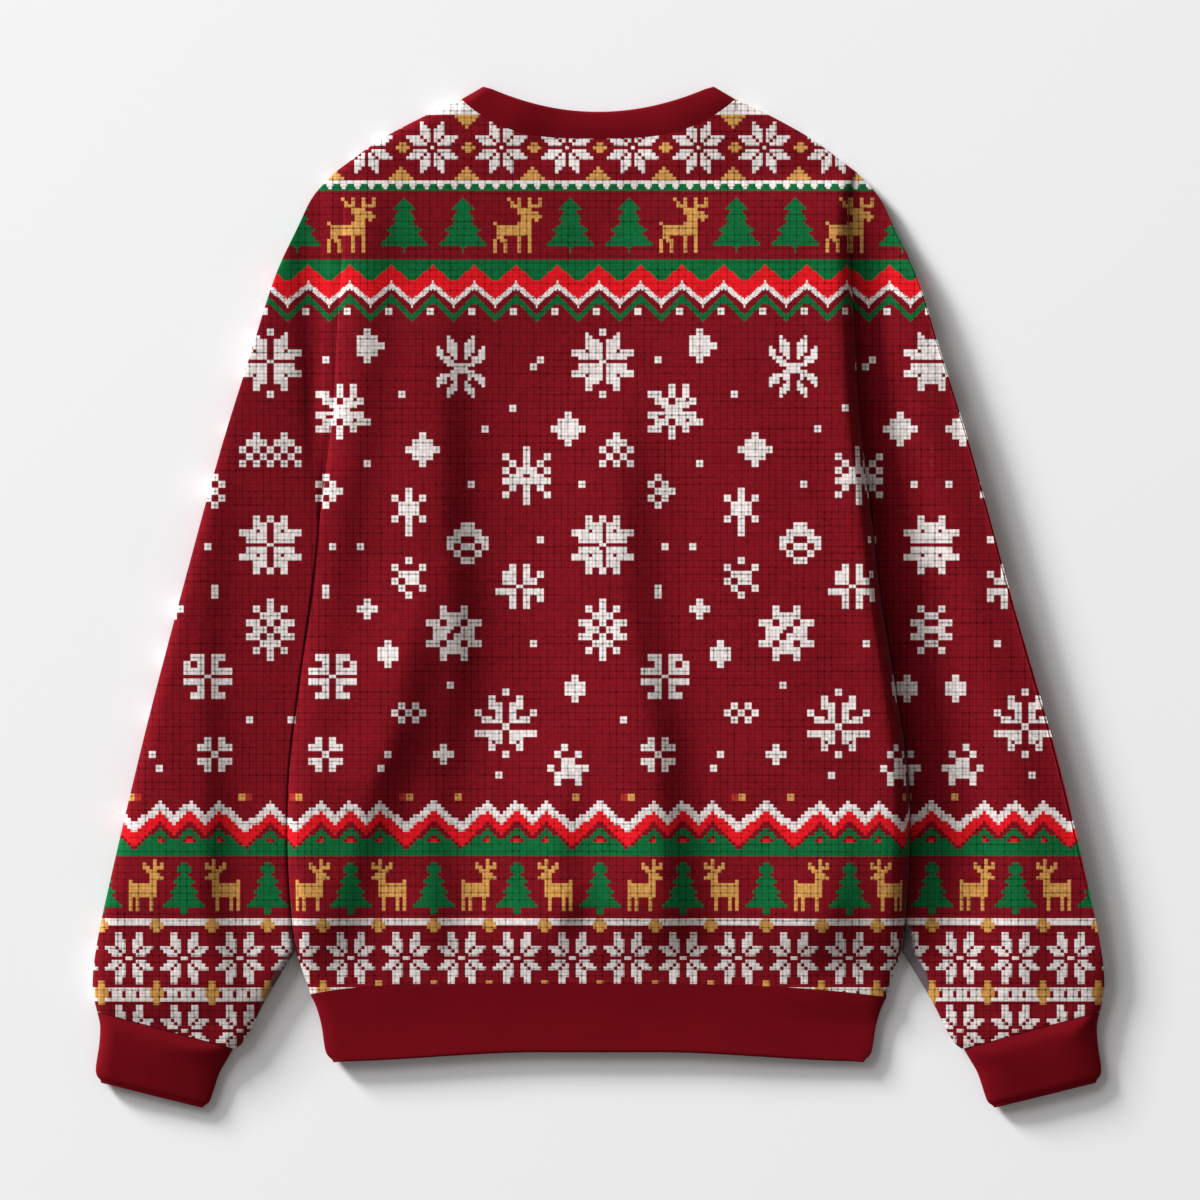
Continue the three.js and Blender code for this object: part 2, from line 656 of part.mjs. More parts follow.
// Closes a band's section round its free edge: outer face, rounded tip, then inner face back to the seam.
function bandSection(outerPoints, innerPoints, wall) {
  const a = new THREE.Vector3(...outerPoints.at(-1));
  const b = new THREE.Vector3(...innerPoints.at(-1));
  const before = new THREE.Vector3(...outerPoints.at(-2));
  const across = a.clone().sub(b).multiplyScalar(0.5);
  const ahead = a.clone().sub(before);
  ahead.sub(across.clone().multiplyScalar(ahead.dot(across) / across.lengthSq())).setLength(wall / 2);
  const centre = a.clone().add(b).multiplyScalar(0.5);
  const tip = [45, 90, 135].map((degrees) => {
    const turn = THREE.MathUtils.degToRad(degrees);
    const p = centre.clone().addScaledVector(across, Math.cos(turn)).addScaledVector(ahead, Math.sin(turn));
    return p.toArray();
  });
  return [...outerPoints, ...tip, ...innerPoints.toReversed()];
}

function cuff(side) {
  const sections = CUFF_SECTIONS.map((row, i) => {
    const reached = smooth(i / 2);
    return {
      outer: [row.outerX, row.outerY],
      inner: [row.innerX, row.innerY],
      crown: row.crown,
      beside: row.crown,
      riseShare: 1,
      outerEdge: CUFF_EDGE,
      innerEdge: CUFF_EDGE,
      outerReach: mix(CUFF_SEAM_REACH, CUFF_REACH[side].outer, reached),
      innerReach: mix(CUFF_SEAM_REACH, CUFF_REACH[side].inner, reached),
      fold: () => 0,
    };
  });
  const walls = tubeStations(12, 8).map((station) => bandSection(
    sections.map((section) => mirrored(side, tubePoint(section, station, 0))),
    sections.map((section) => mirrored(side, tubePoint(section, station, HEM_RIB))),
    HEM_RIB,
  ));
  return ringSolid(walls);
}

// The hem band's stations run across the top from right to left, then back along the floor.
function hemStations(middle) {
  const half = [];
  for (let i = 0; i <= middle; i += 1) half.push({ across: i / middle, turn: 1 });
  TURNS.toReversed().slice(1).forEach((turn) => half.push({ across: 1, turn }));
  const right = half.toReversed();
  const left = half.slice(1).map((s) => ({ across: -s.across, turn: s.turn }));
  const top = [...right, ...left].map((s) => ({ ...s, top: true }));
  const under = top.slice(1, -1).toReversed().map((s) => ({ ...s, top: false }));
  return [...top, ...under];
}

function hemPoint(row, station, wall) {
  const rise = Math.sin((station.turn * Math.PI) / 2);
  const reach = HEM_BAND.edgeReach;
  const inset = reach - (reach - wall) * Math.sqrt(1 - rise ** 2);
  const x = station.turn < 1 ? Math.sign(station.across) * (row.half - inset)
    : station.across * (row.half - reach);
  const share = Math.abs(x) / HEM_SEAM.half;
  const freeY = HEM_BAND.centreY - HEM_BAND.sideDrop * smooth((share - 0.2) / 0.75);
  const y = mix(hemSeamY(x), freeY + HEM_RIB / 2, row.down);
  const fall = HEM_BAND.rightFall * row.down * smooth((x - 60) / 130);
  const top = mix(HEM_BAND.seamTop, HEM_BAND.top, row.rise) - fall - wall;
  const z = mix(HEM_BAND.edge, station.top ? top : wall, rise);
  return [x, y, z];
}

function hemBand() {
  const walls = hemStations(8).map((station) => bandSection(
    HEM_BAND_SECTIONS.map((row) => hemPoint(row, station, 0)),
    HEM_BAND_SECTIONS.map((row) => hemPoint(row, station, HEM_RIB)),
    HEM_RIB,
  ));
  return ringSolid(walls);
}

// A section of the neckband at a share of its half length, on the back (top) or the front layer.
function neckSection(side, share, top) {
  const drop = top ? NECK.backDrop : NECK.frontDrop;
  const power = top ? NECK.backPower : NECK.frontPower;
  const freeDrop = top ? NECKBAND.backDrop : NECKBAND.frontDrop;
  const freePower = top ? NECKBAND.backPower : NECKBAND.frontPower;
  const seam = new THREE.Vector2(NECK.half * share, neckSeamY(NECK.half * share, drop, power));
  const free = new THREE.Vector2(
    NECKBAND.peakHalf * share,
    NECKBAND.peakY - freeDrop * (1 - share ** freePower),
  );
  const ahead = free.clone().sub(seam).normalize();
  seam.addScaledVector(ahead, SEAM_GAP);
  free.addScaledVector(ahead, -NECK_RIB / 2);

  const rise = neckFoldRise(share);
  const fold = Math.sqrt(1 - rise ** 2);
  const upFold = new THREE.Vector2(NECKBAND.peakHalf - NECK.half, NECKBAND.peakY - NECK.y).normalize();
  const outward = new THREE.Vector2(upFold.y, -upFold.x);
  const z = top ? neckTop(share) : neckUnder(share);
  const upright = (top ? -1 : 1) * NECK_RIB * rise;
  const outerPoints = [];
  const innerPoints = [];
  [0, 0.5, 1].forEach((t) => {
    const plan = seam.clone().lerp(free, t);
    outerPoints.push([side * plan.x, plan.y, z]);
    plan.addScaledVector(outward, -NECK_RIB * fold);
    innerPoints.push([side * plan.x, plan.y, z + upright]);
  });
  return bandSection(outerPoints, innerPoints, NECK_RIB);
}

function neckband() {
  const outwards = NECK_STATIONS;
  const sections = [
    ...outwards.toReversed().map((share) => neckSection(1, share, true)),
    ...outwards.slice(1).map((share) => neckSection(-1, share, true)),
    ...outwards.slice(0, -1).toReversed().map((share) => neckSection(-1, share, false)),
    ...outwards.slice(1, -1).map((share) => neckSection(1, share, false)),
  ];
  return ringSolid(sections);
}

// ---------------------------------------------------------------- the garment

const sweatshirt = new THREE.Group();
sweatshirt.add(
  frontPanel().mesh('front_panel', PRINTED_FLEECE),
  backPanel().mesh('back_panel', PRINTED_FLEECE),
  sleeve('left').mesh('sleeve_left', PRINTED_FLEECE),
  sleeve('right').mesh('sleeve_right', PRINTED_FLEECE),
  neckband().mesh('neckband', BAND_FLEECE),
  hemBand().mesh('hem_band', BAND_FLEECE),
  cuff('left').mesh('cuff_left', BAND_FLEECE),
  cuff('right').mesh('cuff_right', BAND_FLEECE),
);

export default sweatshirt;
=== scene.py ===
"""A crew-neck sweatshirt with an all-over winter print, laid flat on its front on a pale floor."""

import math

import bpy
import numpy as np
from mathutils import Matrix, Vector


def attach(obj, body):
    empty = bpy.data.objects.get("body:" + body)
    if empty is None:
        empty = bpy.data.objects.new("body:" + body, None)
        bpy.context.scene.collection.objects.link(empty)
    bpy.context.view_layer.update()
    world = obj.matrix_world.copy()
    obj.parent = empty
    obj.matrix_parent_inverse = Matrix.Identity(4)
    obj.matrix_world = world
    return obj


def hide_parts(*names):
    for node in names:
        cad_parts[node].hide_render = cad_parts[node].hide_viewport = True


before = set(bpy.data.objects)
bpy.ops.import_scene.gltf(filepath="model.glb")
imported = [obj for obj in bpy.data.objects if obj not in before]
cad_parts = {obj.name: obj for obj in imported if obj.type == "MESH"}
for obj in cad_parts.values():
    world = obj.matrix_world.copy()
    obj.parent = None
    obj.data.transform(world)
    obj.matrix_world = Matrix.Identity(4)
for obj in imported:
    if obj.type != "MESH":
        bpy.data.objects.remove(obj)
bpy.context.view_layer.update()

MM = 0.001
TINY = 1e-6

# ---------------------------------------------------------------- sizes, in millimetres

# Where a table has two sides, -1 is the left side of the garment as it lies and 1 the right side.
# Every height is above the floor.

FLEECE = 2.2  # wall of the printed fleece
HEM_RIB = 3.4  # doubled band at the hem and cuffs
NECK_RIB = 3.8  # doubled band at the neck
SEAM_GAP = 0.15  # between pieces that are sewn together
SLEEVE_CLEARANCE = 0.35  # sleeve from body where the two lie side by side
SHARP_TURN = math.radians(50)  # an edge that turns more than this is shaded as a cut edge

# The neck seam drops below the neck points, and the band's free edge below its two peaks.
NECK_HALF, NECK_Y = 101.5, 368.5
PEAK_HALF, PEAK_Y = 84.4, 378.5
BACK_NECK = {"drop": 29.2, "power": 3.2, "free_drop": 19.2, "free_power": 2}
FRONT_NECK = {"drop": 88, "power": 2.6, "free_drop": 77, "free_power": 2.4}
NECK_FOLD_HEIGHT, NECK_FOLD_REACH = 4.2, 6
NECK_PEAK_TOP, NECK_CENTRE_TOP, NECK_BULGE = 8.6, 6.2, 0.7
NECK_SAG_START, NECK_SAG_SPAN = 0.3, 0.4  # shares of the half neck over which it rises from its centre top
NECK_SLOPE = 26  # depth below the neck seam over which the back rises to its own height
YOKE_DEPTH, YOKE_FADE = 90, 60  # the back lies on the front's neckband for this depth, then sinks

SHOULDER_HALF, SHOULDER_Y, SHOULDER_REACH = 192.6, 314.8, 10
UNDERARM_Y = 68
ARMHOLE_TOP = {-1: 10.5, 1: 7}
ARMHOLE_EDGE, ARMHOLE_REACH = 6, 30

HEM_HALF, HEM_SEAM_Y = 213.3, -286.1
HEM_SEAM_DROP = {-1: (8, 6), 1: (10, 3)}  # how far the hem seam drops at each end, and how late
HEM_FREE_Y, HEM_FREE_DROP, HEM_FREE_START, HEM_FREE_SPAN = -337, 7.4, 0.2, 0.75
HEM_SEAM_TOP, HEM_TOP, HEM_EDGE, HEM_REACH = 10.4, 9.2, 6.5, 12
HEM_SIDE_FALL, HEM_SIDE_START, HEM_SIDE_SPAN, HEM_SIDE_DEPTH = 2, 90, 110, 0.5  # the band sinks on the right

CUFF_EDGE = 5.5
CUFF_SEAM_REACH = 12
CUFF_REACH = {-1: (12, 60), 1: (30, 26)}  # how far the outer and inner edges round over below the seam
CUFF_EASE = 2  # sections from the seam over which they come to that

LAYERS_TOP = 5.6  # the back where it lies flat on the front
FLOOR_REACH = 14  # how far the under half of a tube takes to reach the floor

# Shoulder line of the body: half width, height up the garment.
SHOULDER_LINE = ((NECK_HALF, NECK_Y), (127.8, 356.3), (160, 338.5), (SHOULDER_HALF, SHOULDER_Y))

# Sides of the body: y and half width, and then for the left and for the right side the height of its edge,
# how far it rounds over and how much it swells.
BODY_SIDES = (
    (SHOULDER_Y, SHOULDER_HALF, ARMHOLE_EDGE, 14, 3, ARMHOLE_EDGE, 10, 3),
    (294, 187.4, 6.5, 16, 6, 5.9, 10, 9),
    (250, 188.1, 7.6, 16, 9, 5.7, 12, 14),
    (205, 191.1, 8.7, 16, 10, 5.5, 12, 17),
    (138, 194.8, 10.3, 15, 9.5, 5.3, 11, 20.5),
    (UNDERARM_Y, 203, 12, 13, 9, 5, 10, 22.5),
    (-2, 211.1, 12.5, 12, 8, 4.5, 10, 24),
    (-66, 220.7, 12.5, 12, 7, 4.5, 11, 24),
    (-129, 228.9, 12.5, 12, 5.5, 4.5, 13, 23.5),
    (-180, 230.4, 12, 12, 5, 4.5, 14, 21),
    (-224, 228.2, 11, 12, 4.5, 4.5, 14, 17),
    (-262, 223.7, 9, 12, 4, 5, 13, 11),
    (-292.6, HEM_HALF, HEM_EDGE, HEM_REACH, 3, HEM_EDGE, HEM_REACH, 3),
)
# Shape of the swell beside each edge: share of a narrow ridge, its width, and the width of the rest.
SIDE_RIDGE = {-1: (0.5, 20, 100), 1: (0.1, 16, 150)}

# Outer edge of a sleeve, and its inner edge once clear of the body: y, x.
SLEEVE_OUTER = (
    (SHOULDER_Y, SHOULDER_HALF), (297, 208.9), (275.6, 219.6), (238.5, 236.7), (183, 254.4),
    (109, 277.4), (-2, 307.8), (-113, 338.1), (-224, 364.4), (-266, 372.6), (-291, 374.3),
    (-306.5, 371.3),
)
SLEEVE_INNER = ((-262, 224.4), (-273.3, 231.6), (-302.2, 248.5), (-319.3, 257), (-330.4, 263.7),
                (-334.3, 268.5))

# Sections of each sleeve from the armhole to the cuff: y on the outer and on the inner edge, height of the
# crown and of the part beside the body, heights of the outer and inner edges, how far they round over.
SLEEVE_SECTIONS = {
    -1: (
        (SHOULDER_Y, UNDERARM_Y, 10.5, 10.5, ARMHOLE_EDGE, 12, 30, 30),
        (300, 58, 8.5, 12, 7, 12, 24, 10),
        (279, 45, 9, 13.5, 8.5, 12.5, 20, 3),
        (248, 28, 12.5, 14, 11, 13, 14, 2),
        (196, 2, 14, 14.5, 12.5, 13, 12, 1.5),
        (116, -42, 14.5, 14.5, 13.2, 13, 12, 1.5),
        (12, -104, 14.5, 14.5, 13.5, 13, 12, 1.5),
        (-90, -172, 14.5, 14.5, 13.5, 13, 12, 1.5),
        (-180, -232, 14.5, 14, 13.5, 12, 12, 4),
        (-232, -262, 14.5, 13.5, 12.5, 10.5, 12, 9),
        (-272, -298, 14.5, 13.5, 10.5, 9, 12, 16),
        (-294, -323, 14, 13, 8, 7, 12, 14),
        (-306.5, -334.3, 12, 12, CUFF_EDGE, CUFF_EDGE, 12, 12),
    ),
    1: (
        (SHOULDER_Y, UNDERARM_Y, 7, 7, ARMHOLE_EDGE, 5, 30, 30),
        (300, 58, 7, 7, 7, 5, 26, 12),
        (279, 45, 8.5, 7, 8.5, 5.3, 18, 4),
        (248, 28, 12.5, 7, 12, 5.5, 12, 3),
        (196, 2, 15, 7, 14.3, 5.5, 11, 3),
        (116, -42, 16, 7, 15.5, 5.5, 11, 3),
        (12, -104, 16.5, 7, 16, 5.5, 11, 3),
        (-90, -172, 16.5, 7, 16, 5.5, 11, 3),
        (-180, -232, 16.5, 7.5, 15.5, 5.5, 11, 5),
        (-232, -262, 16, 9, 14, 6, 12, 9),
        (-272, -298, 15.5, 11.5, 11.5, 7, 14, 16),
        (-294, -323, 13.5, 12.5, 7.5, 6.5, 16, 14),
        (-306.5, -334.3, 12, 12, CUFF_EDGE, CUFF_EDGE, 12, 12),
    ),
}
SLEEVE_RISE = {-1: 0.5, 1: 0.8}  # share of the width over which it rises from the body to its crown
SLEEVE_LAG = {-1: 1, 1: 2.2}  # how late in that share it rises
SLEEVE_FALL = {-1: 0.5, 1: 2.5}  # how far it then falls towards its outer edge
FALL_STARTS, FALL_ENDS = 4, 2  # sections from the armhole and from the cuff over which the fall fades

# Bare unprinted cloth in painted shade at each sleeve's inner edge: from y, to y, width, how plain it shows.
BARE_AND_SHADED_STRIP = {-1: (-244, -306, 6, 0.55), 1: (-240, -293, 10, 1)}
BARE_AND_SHADED_EDGE, BARE_AND_SHADED_TAPER = 1.5, 0.6

# Sections of a cuff from its seam to its free edge: outer x and y, inner x and y, height of the crown.
CUFF_SECTIONS = (
    (371.1, -307, 270.4, -334.4, 12),
    (369, -317, 275, -342.5, 13.8),
    (369.6, -331, 280.6, -352.4, 13.2),
    (372, -347, 285.2, -366, 11.4),
    (371.6, -353.6, 288, -373.4, 10.4),
    (368.6, -357.8, 292, -376.6, 9),
)

# Hem band: share of the way down, half width, share of the way from the seam's height to the band's.
HEM_SECTIONS = ((0, HEM_HALF, 0), (0.2, 209, 0.5), (0.5, 205, 1), (0.8, 202.8, 1), (0.92, 201, 0.9),
                (1, 197, 0.8))

# Folds: how wide the slow rise on the left is, how wide the drop on the right is, and then points down
# the middle of the drop as x, y and height.
BACK_FOLDS = (
    (45, 20, ((-103.6, 235, 0), (-104, 190, 4), (-103.6, 116, 7), (-102.5, 57, 9), (-96, -2, 8.5),
              (-96.5, -57, 6.5), (-104, -98, 5), (-112, -136, 4.5), (-117, -190, 5), (-114, -232, 7.5),
              (-112, -262, 7), (-122, -292, 3))),
    (70, 24, ((-112, 30, 0), (-122, -15, 5), (-131, -54, 9), (-139, -98.5, 11), (-154, -136, 11),
              (-167, -180, 9), (-178, -217, 9), (-183, -250, 8), (-188, -292, 4))),
    (60, 23, ((24, 165, 0), (26, 130, 3), (30, 110, 5), (32, 65, 7.5), (35, 5, 8), (40, -39, 10),
              (46, -70, 12), (51.5, -98, 13), (54.5, -136, 13), (58, -180, 13.5), (60, -217, 13),
              (62, -247, 12), (56, -270, 10), (52, -292, 6))),
    (55, 17, ((-14, -90, 0), (-16, -136, 3.5), (-22, -195, 6), (-16, -224, 7.5), (-23, -250, 8.5),
              (-21, -270, 8.5), (-28, -292, 5))),
    (40, 22, ((190, -150, 0), (188, -200, 4), (178, -250, 8.5), (176, -270, 9), (172, -292, 6))),
)
SLEEVE_FOLDS = {
    -1: ((80, 17, ((-270, 110, 0), (-275, 61, 3), (-284, -39, 4.5), (-283, -113, 6), (-283, -187, 7.5),
                   (-284, -224, 8), (-276, -261, 6), (-268, -287, 5), (-262, -315, 0))),),
    1: ((40, 20, ((318, -60, 0), (317, -150, 1.5), (320, -220, 3), (322, -262, 3.5), (326, -310, 0))),),
}
CREST_AHEAD = 0.7  # crest of a fold ahead of the middle of its drop, as a share of the drop's width

# The lower back is fuller, over this span above the hem, and comes down to the hem seam again.
HEM_FULLNESS, FULLNESS_START, FULLNESS_SPAN, SEAM_RISE = 1.5, 230, 150, 62

# The upper half lies a little to one side: how far, where that starts and is full, and fades at the top.
ASKEW_SHIFT, ASKEW_FOOT, ASKEW_FULL, ASKEW_TOP, ASKEW_TOP_FULL = -2, -160, 20, 378, 318

# Rows and columns of points in the cloth.
SIDE_TURN_POINTS, TOP_TURN_POINTS, FREE_TURN_POINTS = 9, 7, 9
SLEEVE_STATIONS, CUFF_STATIONS = (64, 32), (56, 28)  # round a tube, on top and beneath
ROWS_BETWEEN_SLEEVE_SECTIONS, CUFF_ROWS = 12, 31
HEM_COLUMNS, HEM_ROWS = 61, 25
NECKBAND_STATIONS, NECKBAND_ROWS = 41, 11
NECK_SPACING = 0.9  # power of the sine that spaces the points along half the neck
SETTLING_ROUNDS = 6  # a panel's points settle between edges that curve both ways

# ---------------------------------------------------------------- small tools


def mix(a, b, t):
    return a + (b - a) * t


def smooth(t):
    t = np.clip(t, 0, 1)
    return t * t * (3 - 2 * t)


def round_over(distance, reach):
    """Quarter round: 0 at the edge and 1 once the distance passes the reach."""
    return np.sqrt(1 - (1 - np.clip(distance / reach, 0, 1)) ** 2)


def lean(rise):
    """How far a quarter round still leans out where it has risen this far: 1 at its edge, 0 at its top."""
    return np.sqrt(1 - rise ** 2)


def bell(t):
    return np.exp(-t * t)


def curve(keys, values):
    """A smooth curve through points, level beyond its ends."""
    order = np.argsort(keys)
    keys, values = np.asarray(keys, float)[order], np.asarray(values, float)[order]
    last = len(keys) - 1
    before = np.maximum(np.arange(last + 1) - 1, 0)
    after = np.minimum(np.arange(last + 1) + 1, last)
    slopes = (values[after] - values[before]) / (keys[after] - keys[before])

    def at(where):
        where = np.clip(np.asarray(where, float), keys[0], keys[-1])
        i = np.clip(np.searchsorted(keys, where, side="right") - 1, 0, last - 1)
        span, rise = keys[i + 1] - keys[i], values[i + 1] - values[i]
        t = (where - keys[i]) / span
        bend = (1 - t) * t * ((1 - t) * (slopes[i] * span - rise) - t * (slopes[i + 1] * span - rise))
        return values[i] + rise * t + bend

    return at


def columns_of(table):
    return [np.array(column, float) for column in zip(*table)]


def curves_of(table):
    """Curves through each later column of a table, along its first column."""
    first, *later = columns_of(table)
    return [curve(first, column) for column in later]


def between_rows(table, steps):
    """The columns of a table at steps counted in its rows."""
    return [curve(np.arange(len(table)), column)(steps) for column in columns_of(table)]


def for_side(choices, x):
    """Picks the left or the right one of two numbers by the sign of x."""
    return np.where(x < 0, choices[-1], choices[1])


# ---------------------------------------------------------------- outline of the body

side_half, *rolls = curves_of(BODY_SIDES)
side_rolls = {side: dict(zip(("edge", "reach", "swell"), curves))
              for side, curves in ((-1, rolls[:3]), (1, rolls[3:]))}
shoulder_y, = curves_of(SHOULDER_LINE)
shoulder_edge = curve((NECK_HALF, SHOULDER_HALF), (NECK_FOLD_HEIGHT, ARMHOLE_EDGE))


def side_roll(what, x, y):
    return for_side({side: roll[what](y) for side, roll in side_rolls.items()}, x)


def askew(y):
    """How far the garment lies to one side at a height up it."""
    return (ASKEW_SHIFT * smooth((y - ASKEW_FOOT) / (ASKEW_FULL - ASKEW_FOOT))
            * smooth((ASKEW_TOP - y) / (ASKEW_TOP - ASKEW_TOP_FULL)))


def hem_seam_y(x):
    drop, power = (for_side({side: ends[i] for side, ends in HEM_SEAM_DROP.items()}, x)
                   for i in range(2))
    return HEM_SEAM_Y - drop * (np.abs(x) / HEM_HALF) ** power


def armhole_rise(y):
    return round_over(SHOULDER_Y - y, ARMHOLE_REACH) * round_over(y - UNDERARM_Y, ARMHOLE_REACH)


def neck_fold_rise(share):
    return round_over(NECK_HALF * (1 - share), NECK_FOLD_REACH)


def neck_sag(share):
    """Upper face at the back neck seam before it folds over, by share of the half neck."""
    return mix(NECK_CENTRE_TOP, NECK_PEAK_TOP, smooth((share - NECK_SAG_START) / NECK_SAG_SPAN))


def neck_top(share):
    return mix(NECK_FOLD_HEIGHT, neck_sag(share), neck_fold_rise(share))


def neck_seam_y(x, neck):
    return NECK_Y - neck["drop"] * (1 - (np.minimum(np.abs(x), NECK_HALF) / NECK_HALF) ** neck["power"])


def neck_shares(count):
    """Shares of the half neck, closer together towards its end."""
    return np.sin(np.linspace(0, math.pi / 2, count)) ** NECK_SPACING


def panel_top(x, neck):
    return np.where(np.abs(x) > NECK_HALF, shoulder_y(np.abs(x)), neck_seam_y(x, neck))


# ---------------------------------------------------------------- folds and creases


def fold_height(fold, x, y):
    """A long fold: a slow rise to its crest, then a drop whose middle follows the fold's points."""
    rise, drop, points = fold
    at, up, height = columns_of(points)
    crest = curve(up, at)(y) - CREST_AHEAD * drop
    return curve(up, height)(y) * bell((x - crest) / np.where(x < crest, rise, drop))


def back_height(x, y):
    """Upper face of the back before its edges are rounded over."""
    swell = 0
    for side, (ridge, narrow, broad) in SIDE_RIDGE.items():
        past = np.maximum(0, side_half(y) - side * x - side_rolls[side]["reach"](y))
        swell = swell + side_rolls[side]["swell"](y) * mix(bell(past / broad), bell(past / narrow), ridge)
    open_cloth = LAYERS_TOP + swell + sum(fold_height(fold, x, y) for fold in BACK_FOLDS)
    above_hem = y - hem_seam_y(x)
    open_cloth = open_cloth + HEM_FULLNESS * smooth((FULLNESS_START - above_hem) / FULLNESS_SPAN)
    near_hem = mix(HEM_SEAM_TOP, open_cloth, smooth(above_hem / SEAM_RISE))

    below_neck = panel_top(x, BACK_NECK) - y
    yoke = np.maximum(near_hem, NECK_PEAK_TOP)
    over_front_band = mix(yoke, near_hem, smooth((below_neck - YOKE_DEPTH) / YOKE_FADE))
    at_neck = neck_sag(np.minimum(1, np.abs(x) / NECK_HALF))
    return mix(at_neck, over_front_band, smooth(below_neck / NECK_SLOPE))


def hem_fall(x, down):
    """How much lower the hem band lies towards its right end."""
    return HEM_SIDE_FALL * smooth((x - HEM_SIDE_START) / HEM_SIDE_SPAN) * smooth(down / HEM_SIDE_DEPTH)


# ---------------------------------------------------------------- closed meshes


def closed_mesh(name, points, quads, corners):
    """A closed mesh turned outward, from points and quads of point numbers, in millimetres.
    corners says where each corner of each quad lies on the laid-out print."""
    points = np.array(points, float)
    points[:, 0] += askew(points[:, 1])
    a, b, c, d = (points[quads[:, i]] for i in range(4))
    if (a * np.cross(b, c)).sum() + (a * np.cross(c, d)).sum() < 0:
        quads, corners = quads[:, ::-1], corners[:, ::-1]
    mesh = bpy.data.meshes.new(name)
    mesh.from_pydata((points * MM).tolist(), [], quads.tolist())
    mesh.polygons.foreach_set("use_smooth", np.ones(len(quads), bool))
    mesh.set_sharp_from_angle(angle=SHARP_TURN)
    layer = mesh.uv_layers.new(name="cloth")
    layer.data.foreach_set("uv", (corners * MM).ravel())
    mesh.update()
    piece = bpy.data.objects.new(name, mesh)
    bpy.context.collection.objects.link(piece)
    return piece


def grid_quads(index):
    """Quads over a grid of point numbers."""
    return np.stack([index[:-1, :-1], index[:-1, 1:], index[1:, 1:], index[1:, :-1]], -1).reshape(-1, 4)


def panel_mesh(name, outer, inner, spots):
    """A panel from two grids of the same size, joined round their rim."""
    rows, columns = outer.shape[:2]
    top = np.arange(rows * columns).reshape(rows, columns)
    under = top + rows * columns
    rims = [np.stack([top[0], under[0]]), np.stack([under[-1], top[-1]]),
            np.stack([under[:, 0], top[:, 0]]), np.stack([top[:, -1], under[:, -1]])]
    quads = np.concatenate([grid_quads(top), grid_quads(under[::-1])] + [grid_quads(rim) for rim in rims])
    points = np.concatenate([outer.reshape(-1, 3), inner.reshape(-1, 3)])
    flat = np.concatenate([spots.reshape(-1, 2)] * 2)
    return closed_mesh(name, points, quads, flat[quads])


def ring_mesh(name, walls, spots, wrapped):
    """A ring from closed sections, one for each station round a loop.
    spots and wrapped say where each point lies on the print, seen from its own station and from the
    station before it."""
    stations, around = walls.shape[:2]
    index = np.arange(stations * around).reshape(stations, around)
    following, beside = np.roll(index, -1, 0), np.roll(index, -1, 1)
    quads = np.stack([index, following, np.roll(following, -1, 1), beside], -1).reshape(-1, 4)
    near, far = spots.reshape(-1, 2), wrapped.reshape(-1, 2)
    corners = np.stack([near[quads[:, 0]], far[quads[:, 1]], far[quads[:, 2]], near[quads[:, 3]]], 1)
    return closed_mesh(name, walls.reshape(-1, 3), quads, corners)


# ---------------------------------------------------------------- body panels


def quarter_turn(count):
    """How far each point of a quarter round has risen, from its top to its edge."""
    return np.sin(np.linspace(1, 0, count) * math.pi / 2)


def panel_places(neck, below_neck, outwards, up):
    """Plan position of each point of a panel, how far it has risen from its side and from its top edge,
    and which columns turn over the side."""
    shares, out = neck_shares(below_neck + 1), np.arange(1, outwards) / outwards
    turn, top_turn = quarter_turn(SIDE_TURN_POINTS), quarter_turn(TOP_TURN_POINTS)
    right = np.stack([
        np.ones(len(shares) + len(out) + len(turn)),
        np.concatenate([shares, np.ones(len(out) + len(turn))]),
        np.concatenate([0 * shares, out, np.ones(len(turn))]),
        np.concatenate([np.ones(len(shares) + len(out)), turn])])
    left = right[:, :0:-1] * [[-1], [1], [1], [1]]
    side, neck_share, out_share, side_rise = np.concatenate([left, right], axis=1)
    share_up = np.concatenate([np.arange(up) / up, np.ones(len(top_turn))])[:, None]
    top_rise = np.concatenate([np.ones(up), top_turn])[:, None]
    y = mix(HEM_SEAM_Y, NECK_Y, share_up) * np.ones(len(side))
    for _ in range(SETTLING_ROUNDS):
        half, reach = side_half(y), side_roll("reach", side, y)
        x = side * (NECK_HALF * neck_share + (half - reach - NECK_HALF) * out_share + reach * lean(side_rise))
        y = (mix(hem_seam_y(x) + SEAM_GAP, panel_top(x, neck) - SHOULDER_REACH, share_up)
             + SHOULDER_REACH * lean(top_rise))
    return x, y, side_rise, top_rise, out_share == 1


